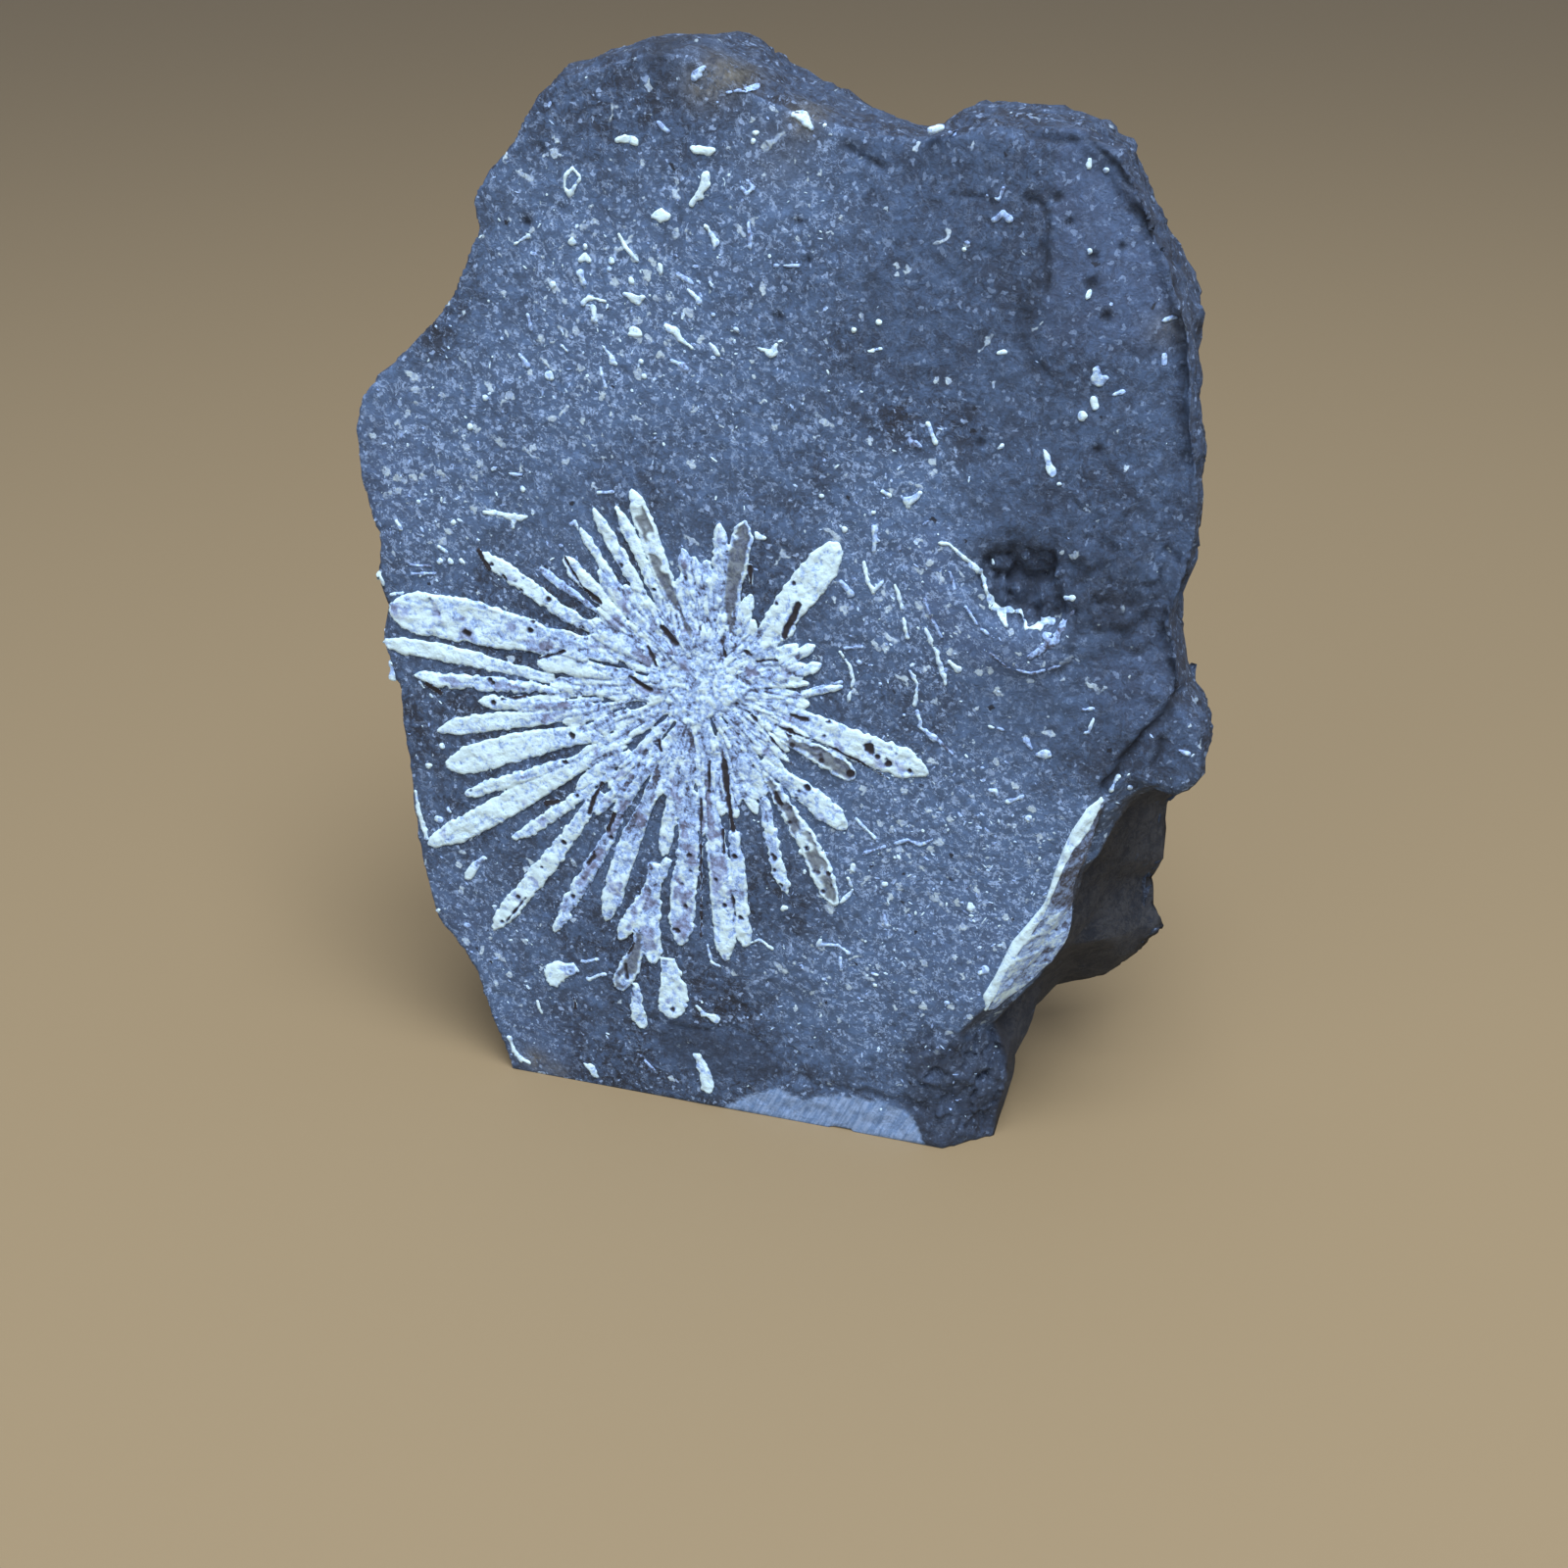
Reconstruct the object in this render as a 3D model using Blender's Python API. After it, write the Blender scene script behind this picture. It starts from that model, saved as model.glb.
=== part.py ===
"""Chrysanthemum stone: a slab of dark limestone that stands on its sawn foot, with a flower of white
crystal blades in its face.

Sizes are in millimetres, in the stone's own frame: X runs along the face, the face looks towards -Y,
and +Z is up. The origin is under the middle of the stone, on the surface that it stands on.
"""

import math

import bmesh
import bpy
from mathutils import Vector, noise
from mathutils.geometry import delaunay_2d_cdt

MM = 0.001

# Driving sizes of the slab
THICKNESS = 30.0
FACE_Y = -THICKNESS / 2
FACE_GRID = 3.6
BACK_GRID = 5.2
RIM_CLEARANCE = 1.6

# The outline where the slab is widest, as (x, z), clockwise from the lower left corner
LEFT_EDGE = [
    (-40.5, 0), (-41.8, 4), (-43.7, 10), (-45, 16), (-47, 20), (-50.5, 24), (-51.5, 30),
    (-52.4, 38.5), (-52.4, 46.5), (-53, 55), (-52.8, 61.5), (-54, 66), (-54.5, 68.5), (-53, 73),
    (-54, 77), (-53.5, 83), (-55, 88), (-55.5, 93), (-55.2, 98), (-54.2, 101.5), (-51.2, 104.4),
    (-46.4, 108.8), (-43, 112.4), (-39.8, 116.2), (-37.9, 119.8), (-36, 123.6), (-36.6, 126.6),
    (-34.3, 129.9), (-31.2, 133), (-29.5, 136.2), (-27, 139.4),
]
TOP_EDGE = [
    (-25, 141.8), (-20.4, 142.8), (-16.5, 144.4), (-12.5, 144.8), (-9, 144.6), (-5, 143),
    (-0.8, 141), (3.6, 139.4), (7.6, 137.6), (11.4, 136.6), (16.2, 136.6), (20, 137.6), (24.2, 138),
    (28.5, 137.6), (34.6, 137.2),
]
RIGHT_EDGE = [
    (38.4, 134.9), (41, 131.6), (43.1, 128.3), (45.3, 124.7), (46.9, 121), (48.6, 117.4),
    (49.7, 111.6), (50.3, 106), (51.2, 101.2), (50.6, 96.4), (50.6, 91), (50, 85.4), (49.2, 82.4),
]
# The knob's edge is a lower layer of the slab, beyond a step in the face
KNOB_EDGE = [(50.8, 77.6), (51.2, 72.4), (53.8, 69.6), (55.3, 66), (54.8, 62.2), (51.8, 59.6)]
# The broken corner at the lower right, as (x, z) on the face, a little way in, and at the back
BREAK_FACE = [
    (45.6, 61.5), (43.2, 58.8), (41.2, 55.2), (39.1, 51.5), (37.8, 46.8), (37, 42.6), (34.8, 38.4),
    (32.7, 34.5), (31.2, 30.2), (30, 25.2), (26, 19.6), (25.2, 14.4), (24.2, 9), (24.8, 4.2), (25.2, 0),
]
BREAK_MIDDLE = [
    (50, 59.5), (46.2, 57.4), (45.2, 53.2), (42.6, 49), (40.6, 45.4), (40, 41.2), (40.2, 37.6),
    (39.4, 33.4), (36.6, 28), (33, 22.6), (30.6, 19.2), (32.2, 14), (32.2, 9), (31.8, 4.2), (31.5, 0),
]
BREAK_BACK = [
    (51.6, 54), (50.9, 50.6), (50.2, 47.8), (49.3, 45), (49.6, 41.4), (48.8, 37.4), (49, 33.4),
    (49.4, 29.4), (49.6, 26), (47, 21.8), (42, 16.4), (37.2, 11.4), (32.8, 6.6), (29.4, 3.2), (28, 0),
]
BREAK_MIDDLE_DEPTH = 5.0
BREAK_HOLLOW_DEPTH = 8.5
BREAK_HOLLOW = 2.4
BREAK_BACK_DEPTH = 27.0
# The foot's front edge, from the broken corner back to the lower left corner
BASE_EDGE_X = [18.5, 11, 3.5, -4, -11.5, -19, -26.5, -34]

# How far the rim of the face and the rim of the back lie inside the outline
FACE_INSET = {"left": 0.2, "top": 1.3, "right": 2.2, "knob": 1.2, "base": 0.0}
BACK_INSET = {"left": 3.4, "top": 5.4, "right": 4.6, "knob": 8.0, "base": 0.0}
# Depth of each ring behind the face, and its share of the face inset and of the back inset
RINGS = [
    (0.0, 1.0, 0.0), (1.8, 0.3, 0.0), (6.0, 0.0, 0.0), (11.5, 0.0, 0.08), (17.5, 0.0, 0.32),
    (22.5, 0.0, 0.56), (26.5, 0.0, 0.8), (29.0, 0.0, 1.0),
]
SIDE_ROUGHNESS = 1.1
SIDE_LUMP_SIZE = 11.0
# Where in the noise field the push along X, Y and Z is read, in lumps
NOISE_SHIFTS = [(9.3, -1.5, -7.9), (0.0, 0.0, 0.0), (-3.8, 7.3, 21.6)]
# Share of that roughness near the face, where the outline is the measured one
FRONT_CALM = 0.35
CHIP_SIZE = 7.5
CHIP_DEPTH = 2.0

# The face: a dark hollow with a raised rim, a trough below the top notch, and a worn right edge
EYE = (32.2, 86.3)
EYE_RADIUS = 5.4
EYE_DEPTH = 1.9
EYE_RIM_RADIUS = 7.6
EYE_RIM_HEIGHT = 0.7
TROUGH_TOP = (15.0, 139.0)
TROUGH_FOOT = (23.0, 96.0)
TROUGH_WIDTH = 13.0
TROUGH_DEPTH = 1.3
WORN_EDGE_WIDTH = 13.0
WORN_EDGE_DEPTH = 4.2
SPALL = (1.0, 15.5)
SPALL_RADIUS = 8.0
SPALL_DEPTH = 0.8
SAWN_STRIP_HEIGHT = 5.5
SAWN_STRIP_PROUD = 0.7
SAWN_STRIP_X = (-10.0, 22.0)
KNOB_STEP_FOOT = (43.4, 60.0)
KNOB_STEP_TURN = 17.3
KNOB_DROP = 1.3
FACE_WAVE = 0.35
BACK_WAVE = 2.6
BACK_LUMP_SIZE = 24.0

# The flower's heart, and how far the crystals stand out of the face and reach into it
HEART = (-9.3, 67.3)
HEART_RADIUS = 6.5
HEART_HEIGHT = 0.75
HEART_GRAINS = [(0.4, 7, 1.9), (0.85, 13, 2.1)]
HEART_GRAIN_LENGTH = 4.2
CRYSTAL_HEIGHT = 0.95
CRYSTAL_ROOT = 1.6

# Each crystal blade: inner end (x, z), tip (x, z), width
CRYSTALS = [
    # right, from the long low blade upwards
    ((0, 66), (20.8, 58.8), 4.3), ((2, 66.8), (9.5, 69.8), 1.0), ((0.5, 69.2), (6.9, 72.4), 1.4),
    ((0, 70.8), (6, 74.9), 1.4), ((-3, 70), (8.4, 89), 4.2),
    # top, from right to left
    ((-5.4, 74.6), (-3.4, 90.6), 2.8), ((-7, 74.6), (-6.3, 90), 1.9), ((-7.6, 74.6), (-8, 84.8), 1.6),
    ((-8.4, 74.4), (-9.6, 85.2), 1.8), ((-9.2, 74.2), (-11, 86), 2.0), ((-10.4, 74), (-17.6, 92.4), 2.6),
    ((-12.4, 73.2), (-19.8, 90.6), 1.7), ((-14.4, 73.6), (-22.8, 90.2), 1.8),
    ((-17, 74.6), (-24.8, 87.2), 1.2), ((-13.8, 71.6), (-22.6, 81.8), 2.4),
    ((-17.8, 72.4), (-27.2, 83.2), 2.2), ((-23, 75.8), (-30.8, 81.3), 1.1),
    ((-21, 72), (-39.3, 82), 2.3), ((-15.2, 69.4), (-24, 73.2), 3.8),
    # left, from the broad leaf downwards
    ((-25.4, 70.6), (-52.6, 74.4), 6.2), ((-21.4, 67), (-32, 68), 3.0), ((-30.5, 65.9), (-54.6, 67.9), 2.5),
    ((-16.6, 64.6), (-30.4, 64.9), 2.1), ((-29.8, 63.7), (-50.2, 63.7), 2.1),
    ((-25, 62.4), (-40.8, 60.8), 2.1), ((-23.8, 62.2), (-47.4, 55.5), 2.6),
    ((-23.8, 58.8), (-46.8, 50.8), 3.5), ((-25.4, 55.3), (-44, 46), 2.0),
    ((-21, 56.9), (-50.8, 37.3), 3.5),
    # lower left
    ((-22, 52.6), (-37.5, 40.2), 1.8), ((-24.6, 49), (-41.4, 24.1), 2.8), ((-18, 55), (-24.6, 46), 1.8),
    ((-15, 56.6), (-22.4, 46.8), 1.8), ((-20, 49.4), (-32, 25.7), 2.1), ((-16, 52), (-21.2, 42), 1.8),
    # bottom
    ((-15.4, 54.4), (-24.4, 29.2), 3.0), ((-14.8, 40.4), (-22, 26.4), 2.2), ((-12.8, 56.4), (-15, 41), 2.0),
    ((-16.8, 39.2), (-17.6, 23.2), 3.2), ((-19, 28.4), (-22.3, 17.8), 2.9), ((-20.4, 19.2), (-19.3, 11.6), 2.0),
    ((-14.9, 24.3), (-14.6, 14.4), 4.2), ((-11.4, 53), (-12.8, 27), 3.6), ((-8, 53.4), (-6.6, 25.6), 3.4),
    ((-5.4, 46), (-3.6, 28.4), 2.6),
    # lower right
    ((-1.5, 54.4), (2.2, 37.8), 1.9), ((-5.4, 59), (-1, 52.2), 4.4), ((0, 55.2), (9.4, 37.6), 3.0),
    ((-0.6, 57.8), (10.4, 49.2), 3.2), ((2, 62), (11.4, 57), 2.8),
    # slivers that lie apart from the flower
    ((-42.1, 36.4), (-45.4, 32.4), 1.3), ((-29.4, 20.6), (-33.8, 17.4), 3.2), ((-11, 8.9), (-9.2, 2.6), 1.9),
]
# Share of a blade's length from its tip: where it is widest, and where it begins to close at its root
SHOULDER, WAIST = 0.24, 0.82
WAIST_WIDTH = 0.72
TIP_HEIGHT, EDGE_HEIGHT = 0.3, 0.55

# The long crystal that the broken corner laid bare: ends on the face, then how far it reaches
EDGE_CRYSTAL = ((43.4, 59.4), (29.8, 24.4))
EDGE_CRYSTAL_OUT = 2.8
EDGE_CRYSTAL_IN = 1.7
EDGE_CRYSTAL_DEPTH = 5.0
EDGE_CRYSTAL_PROUD = 0.7

LIMESTONE = (0.105, 0.122, 0.165, 1.0)
CALCITE = (0.62, 0.70, 0.84, 1.0)


def empty_scene():
    for old in list(bpy.data.objects):
        bpy.data.objects.remove(old)


def material(name, colour, roughness):
    """A plain mineral surface."""
    made = bpy.data.materials.new(name)
    made.use_nodes = True
    shader = made.node_tree.nodes["Principled BSDF"]
    shader.inputs["Base Color"].default_value = colour
    shader.inputs["Roughness"].default_value = roughness
    shader.inputs["Metallic"].default_value = 0.0
    return made


def smooth(share):
    """0 below 0, 1 above 1, and an even slope between."""
    share = min(max(share, 0.0), 1.0)
    return share * share * (3 - 2 * share)


def segment_distance(x, z, start, end):
    """Distance from (x, z) to the line from start to end, and the share of the way along it."""
    along = Vector(end) - Vector(start)
    share = min(max((Vector((x, z)) - Vector(start)).dot(along) / along.length_squared, 0.0), 1.0)
    return (Vector((x, z)) - Vector(start) - along * share).length, share


def worn_edge(x, z):
    """How far the face falls back where its upper right edge is worn round."""
    nearest = min(segment_distance(x, z, a, b)[0] for a, b in zip(RIGHT_EDGE, RIGHT_EDGE[1:]))
    return WORN_EDGE_DEPTH * max(0.0, 1 - nearest / WORN_EDGE_WIDTH) ** 2


def face_recess(x, z):
    """How far the face lies behind its flat plane at (x, z)."""
    waves = FACE_WAVE * noise.noise(Vector((x, z, 0)) / 19.0)
    hollow_at = math.dist((x, z), EYE)
    eye = EYE_DEPTH * smooth(1.25 - hollow_at / EYE_RADIUS)
    # The hollow's rim stands up on its lower left side only
    facing = 0.5 - 0.5 * math.cos(math.atan2(z - EYE[1], x - EYE[0]) - math.radians(45))
    rim = EYE_RIM_HEIGHT * facing * math.exp(-(((hollow_at - EYE_RIM_RADIUS) / 1.9) ** 2))
    off_trough, share = segment_distance(x, z, TROUGH_TOP, TROUGH_FOOT)
    trough = TROUGH_DEPTH * (1 - smooth(share)) * math.exp(-((off_trough / TROUGH_WIDTH) ** 2) * 2)
    spall = SPALL_DEPTH * smooth(1.4 - math.dist((x, z), SPALL) / SPALL_RADIUS)
    inside_strip = smooth((x - SAWN_STRIP_X[0]) / 6) * smooth((SAWN_STRIP_X[1] - x) / 6 + 0.5)
    strip = SAWN_STRIP_PROUD * inside_strip * max(0.0, 1 - z / SAWN_STRIP_HEIGHT)
    turn = math.radians(KNOB_STEP_TURN)
    beyond = (x - KNOB_STEP_FOOT[0]) * math.cos(turn) - (z - KNOB_STEP_FOOT[1]) * math.sin(turn)
    knob = KNOB_DROP * smooth(beyond / 1.5 + 0.5) * smooth((z - 55) / 4) * smooth((84 - z) / 5)
    return waves + eye - rim + trough + spall - strip + knob + worn_edge(x, z)


def back_bulge(x, z):
    """How far the rough back stands out behind its rim at (x, z): broad lumps with flat steps."""
    lumps = noise.fractal(Vector((x, z, 40)) / BACK_LUMP_SIZE, 0.9, 2.1, 3)
    stepped = round(lumps * 3) / 3
    return BACK_WAVE * (0.4 * lumps + 0.6 * stepped)


def outline():
    """The columns' points on the widest outline, each with its part of the edge."""
    named = [(p, "left") for p in LEFT_EDGE] + [(p, "top") for p in TOP_EDGE]
    named += [(p, "right") for p in RIGHT_EDGE] + [(p, "knob") for p in KNOB_EDGE]
    named += [(p, "break") for p in BREAK_FACE]
    return named + [((x, 0), "base") for x in BASE_EDGE_X]


def inward(before, after):
    """The unit normal that points into the outline, which runs clockwise seen from the front."""
    along = (Vector(after) - Vector(before)).normalized()
    return Vector((along.y, -along.x))


def noise_in_three(place):
    """Noise in three directions, read at three places far apart, so that it is the same in every run."""
    return Vector([noise.noise(place + Vector(shift)) for shift in NOISE_SHIFTS])


def roughened(point, normal, depth):
    """Moves a side vertex by a lumpy pattern, and pushes whole patches in where chips came off."""
    strength = FRONT_CALM + (1 - FRONT_CALM) * smooth((depth - 9) / 8)
    patch = noise.voronoi(point / CHIP_SIZE)[1][0]
    chip = CHIP_DEPTH * noise.cell(patch * 3.7)
    push = SIDE_ROUGHNESS * noise_in_three(point / SIDE_LUMP_SIZE) + Vector((normal.x, 0, normal.y)) * chip
    moved = point + strength * push
    moved.z = max(moved.z, 0.4)
    return moved


def broken_column(index, normal):
    """A column of the broken corner: a narrow front band, a hollow behind it, then one broad plane."""
    face, middle, back = (Vector(row[index]) for row in (BREAK_FACE, BREAK_MIDDLE, BREAK_BACK))
    hollow = middle + normal * BREAK_HOLLOW * smooth((middle.y - 14) / 12) * smooth((60 - middle.y) / 6)
    column = [(face, 0.0), (face.lerp(middle, 0.5), 0.5 * BREAK_MIDDLE_DEPTH), (middle, BREAK_MIDDLE_DEPTH)]
    for share in (0.0, 0.3, 0.55, 0.8, 1.0):
        depth = BREAK_HOLLOW_DEPTH + share * (BREAK_BACK_DEPTH - BREAK_HOLLOW_DEPTH)
        column.append((hollow.lerp(back, share), depth))
    return column


def plain_column(point, normal, part):
    """A column of the natural edge: bevelled at the face, widest a third of the way in, rounded behind."""
    return [
        (Vector(point) + normal * (face_share * FACE_INSET[part] + back_share * BACK_INSET[part]), depth)
        for depth, face_share, back_share in RINGS
    ]


def columns():
    """Every column of side vertices, from the rim of the face to the rim of the back."""
    named = outline()
    made = []
    for index, (point, part) in enumerate(named):
        on_base = point[1] == 0
        normal = Vector((0, 0)) if on_base else inward(named[index - 1][0], named[(index + 1) % len(named)][0])
        if part == "break":
            column = broken_column(index - len(LEFT_EDGE + TOP_EDGE + RIGHT_EDGE + KNOB_EDGE), normal)
        else:
            column = plain_column(point, normal, part)
        vertices = []
        for ring, (place, depth) in enumerate(column):
            at_rim = ring == 0
            depth += face_recess(*place) if at_rim else 0.0
            vertex = Vector((place.x, FACE_Y + depth, place.y))
            vertices.append(vertex if at_rim or on_base else roughened(vertex, normal, depth))
        made.append(vertices)
    return made


def inside_distance(x, z, rim):
    """Distance from (x, z) to the rim, negative outside it."""
    count = len(rim)
    nearest = min(segment_distance(x, z, rim[i], rim[(i + 1) % count])[0] for i in range(count))
    crossings = 0
    for i in range(count):
        (ax, az), (bx, bz) = rim[i], rim[(i + 1) % count]
        if (az > z) != (bz > z) and x < ax + (z - az) / (bz - az) * (bx - ax):
            crossings += 1
    return nearest if crossings % 2 else -nearest


def grid_points(rim, spacing):
    """A staggered, slightly shaken grid inside the rim."""
    xs, zs = [p[0] for p in rim], [p[1] for p in rim]
    rows = int((max(zs) - min(zs)) / (spacing * 0.866)) + 1
    found = []
    for row in range(rows):
        z = min(zs) + row * spacing * 0.866
        for step in range(int((max(xs) - min(xs)) / spacing) + 2):
            x = min(xs) + (step + 0.5 * (row % 2)) * spacing
            shake = 0.22 * spacing * noise_in_three(Vector((x, z, 7.0)) * 0.61)
            if inside_distance(x + shake.x, z + shake.y, rim) > RIM_CLEARANCE:
                found.append((x + shake.x, z + shake.y))
    return found


def eye_points():
    """Rings of extra face vertices, so that the hollow and its rim keep their shape."""
    found = [EYE]
    for radius, count in ((0.45 * EYE_RADIUS, 6), (0.9 * EYE_RADIUS, 11), (EYE_RIM_RADIUS, 15)):
        for step in range(count):
            turn = 2 * math.pi * (step + 0.37 * radius) / count
            found.append((EYE[0] + radius * math.cos(turn), EYE[1] + radius * math.sin(turn)))
    return found


def cover(mesh, rim_vertices, spacing, place, extra=()):
    """Fills a rim with triangles whose inner vertices stand where place(x, z) puts them."""
    rim = [(v.co.x, v.co.z) for v in rim_vertices]
    keep_off = 0.75 * EYE_RIM_RADIUS + spacing * 0.5
    inner = [p for p in grid_points(rim, spacing) if not extra or math.dist(p, EYE) > keep_off + 2.2]
    inner += list(extra)
    flat = [Vector(p) for p in rim + inner]
    _, _, triangles, origins, _, _ = delaunay_2d_cdt(flat, [], [list(range(len(rim)))], 1, 1e-4)
    vertices = list(rim_vertices) + [mesh.verts.new(place(*p)) for p in inner]
    of_result = [vertices[group[0]] for group in origins]
    for triangle in triangles:
        mesh.faces.new([of_result[i] for i in triangle])


def on_face(x, z):
    return Vector((x, FACE_Y + face_recess(x, z), z))


def on_back(x, z):
    return Vector((x, FACE_Y + RINGS[-1][0] + back_bulge(x, z), z))


def stone_body():
    """The slab itself: its side columns, its face and its rough back, as one closed mesh."""
    mesh = bmesh.new()
    sides = [[mesh.verts.new(v) for v in column] for column in columns()]
    for here, there in zip(sides, sides[1:] + sides[:1]):
        for ring in range(len(RINGS) - 1):
            mesh.faces.new((here[ring], there[ring], there[ring + 1], here[ring + 1]))
    cover(mesh, [column[0] for column in sides], FACE_GRID, on_face, eye_points())
    cover(mesh, [column[-1] for column in sides], BACK_GRID, on_back)
    bmesh.ops.triangulate(mesh, faces=[f for f in mesh.faces if len(f.verts) > 3])
    return mesh


def blade(mesh, root, tip, width):
    """One crystal: a flat-sided blade with a low ridge, pointed at both ends, set into the face."""
    root, tip = Vector(root), Vector(tip)
    across = Vector((root.y - tip.y, tip.x - root.x)).normalized() * (width / 2)

    def corner(share, side, height):
        spot = tip.lerp(root, share) + across * side
        return mesh.verts.new((spot.x, FACE_Y + face_recess(*spot) - height, spot.y))

    edge = [(0.0, 0.0), (SHOULDER, 1.0), (WAIST, WAIST_WIDTH), (1.0, 0.0), (WAIST, -WAIST_WIDTH), (SHOULDER, -1.0)]
    heights = [TIP_HEIGHT, EDGE_HEIGHT, EDGE_HEIGHT, TIP_HEIGHT, EDGE_HEIGHT, EDGE_HEIGHT]
    upper = [corner(share, side, height * CRYSTAL_HEIGHT) for (share, side), height in zip(edge, heights)]
    lower = [corner(share, side, -CRYSTAL_ROOT) for share, side in edge]
    ridge_tip, ridge_root = corner(SHOULDER, 0.0, CRYSTAL_HEIGHT), corner(WAIST, 0.0, CRYSTAL_HEIGHT)
    for i in range(6):
        mesh.faces.new((upper[i], upper[(i + 1) % 6], lower[(i + 1) % 6], lower[i]))
    mesh.faces.new(reversed(lower))
    tops = [
        (upper[0], upper[5], ridge_tip), (upper[1], upper[0], ridge_tip),
        (upper[2], upper[1], ridge_tip, ridge_root), (upper[5], upper[4], ridge_root, ridge_tip),
        (upper[3], upper[2], ridge_root), (upper[4], upper[3], ridge_root),
    ]
    for top in tops:
        mesh.faces.new(top)


def heart_grains(mesh):
    """Short crystals packed round the heart, pointing outwards."""
    for share, count, width in HEART_GRAINS:
        for step in range(count):
            turn = 2 * math.pi * (step + 0.5 * share) / count
            turn += 0.12 * math.sin(2.7 * step)
            outward = Vector((math.cos(turn), math.sin(turn)))
            root = Vector(HEART) + outward * (share * HEART_RADIUS - 0.45 * HEART_GRAIN_LENGTH)
            tip = root + outward * HEART_GRAIN_LENGTH * (1 + 0.22 * math.sin(5.1 * step + 9 * share))
            blade(mesh, root, tip, width)


def heart(mesh):
    """The flower's heart: a low, uneven boss where the blades meet."""
    count = 18
    top = mesh.verts.new((HEART[0], FACE_Y + face_recess(*HEART) - HEART_HEIGHT, HEART[1]))
    rings = []
    for share, height in ((0.5, 1.0), (0.85, 0.8), (1.0, 0.3), (0.95, -CRYSTAL_ROOT / HEART_HEIGHT)):
        ring = []
        for step in range(count):
            turn = 2 * math.pi * step / count
            uneven = 1 + 0.16 * noise.noise(Vector((math.cos(turn), math.sin(turn), share)) * 2.3)
            radius = HEART_RADIUS * share * uneven
            x, z = HEART[0] + radius * math.cos(turn), HEART[1] + radius * math.sin(turn)
            ring.append(mesh.verts.new((x, FACE_Y + face_recess(x, z) - height * HEART_HEIGHT * uneven, z)))
        rings.append(ring)
    for step in range(count):
        after = (step + 1) % count
        mesh.faces.new((top, rings[0][step], rings[0][after]))
        for inner, outer in zip(rings, rings[1:]):
            mesh.faces.new((inner[step], outer[step], outer[after], inner[after]))
    mesh.faces.new(rings[-1])


def edge_crystal(mesh):
    """The crystal laid bare along the broken corner: a long spindle with a sharp ridge on the face."""
    start, end = (Vector(p) for p in EDGE_CRYSTAL)
    outward = Vector((start.y - end.y, end.x - start.x)).normalized()
    ends = [mesh.verts.new((p.x, FACE_Y + 0.8, p.y)) for p in (start, end)]
    rings = []
    for share, size in ((0.22, 0.62), (0.55, 1.0), (0.82, 0.8)):
        at = start.lerp(end, share)
        section = [
            (-EDGE_CRYSTAL_IN * size, 0.1), (0.0, -EDGE_CRYSTAL_PROUD),
            (EDGE_CRYSTAL_OUT * size, 2.4 * size), (0.6 * size, EDGE_CRYSTAL_DEPTH * size),
            (-EDGE_CRYSTAL_IN * size, EDGE_CRYSTAL_DEPTH * 0.6 * size),
        ]
        rings.append([
            mesh.verts.new((at.x + outward.x * out, FACE_Y + depth, at.y + outward.y * out))
            for out, depth in section
        ])
    count = len(rings[0])
    for i in range(count):
        after = (i + 1) % count
        mesh.faces.new((ends[0], rings[0][i], rings[0][after]))
        mesh.faces.new((ends[1], rings[-1][after], rings[-1][i]))
        for near, far in zip(rings, rings[1:]):
            mesh.faces.new((near[i], far[i], far[after], near[after]))


def crystal_bodies():
    """The heart, every blade and the crystal at the broken corner, as overlapping closed bodies."""
    mesh = bmesh.new()
    heart(mesh)
    heart_grains(mesh)
    for root, tip, width in CRYSTALS:
        blade(mesh, root, tip, width)
    edge_crystal(mesh)
    return mesh


def finished(mesh, name, surface):
    """Turns a mesh in millimetres into an object in metres with its own material."""
    bmesh.ops.recalc_face_normals(mesh, faces=mesh.faces)
    bmesh.ops.scale(mesh, vec=(MM, MM, MM), verts=mesh.verts)
    data = bpy.data.meshes.new(name)
    mesh.to_mesh(data)
    mesh.free()
    data.materials.append(surface)
    made = bpy.data.objects.new(name, data)
    bpy.context.scene.collection.objects.link(made)
    return made


def main():
    empty_scene()
    stone = finished(stone_body(), "stone", material("dark_limestone", LIMESTONE, 0.85))
    crystals = finished(crystal_bodies(), "crystals", material("white_calcite", CALCITE, 0.6))
    crystals.hide_render = True
    crystals.display_type = "WIRE"
    grown = stone.modifiers.new("crystals_grown_in", "BOOLEAN")
    grown.operation = "UNION"
    grown.solver = "EXACT"
    grown.use_self = True
    grown.material_mode = "TRANSFER"
    grown.object = crystals


main()
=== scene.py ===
"""A chrysanthemum stone: a standing slab of dark limestone with a flower of calcite crystals in its face.

Everything is in metres in the stone's own frame: X along the face, the face towards -Y, +Z up.
Places on the face are given as (x, z) in millimetres, and MM turns them into metres.
"""

import math

import bmesh
import bpy
import numpy as np
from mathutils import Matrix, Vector, noise
from mathutils.bvhtree import BVHTree


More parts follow.
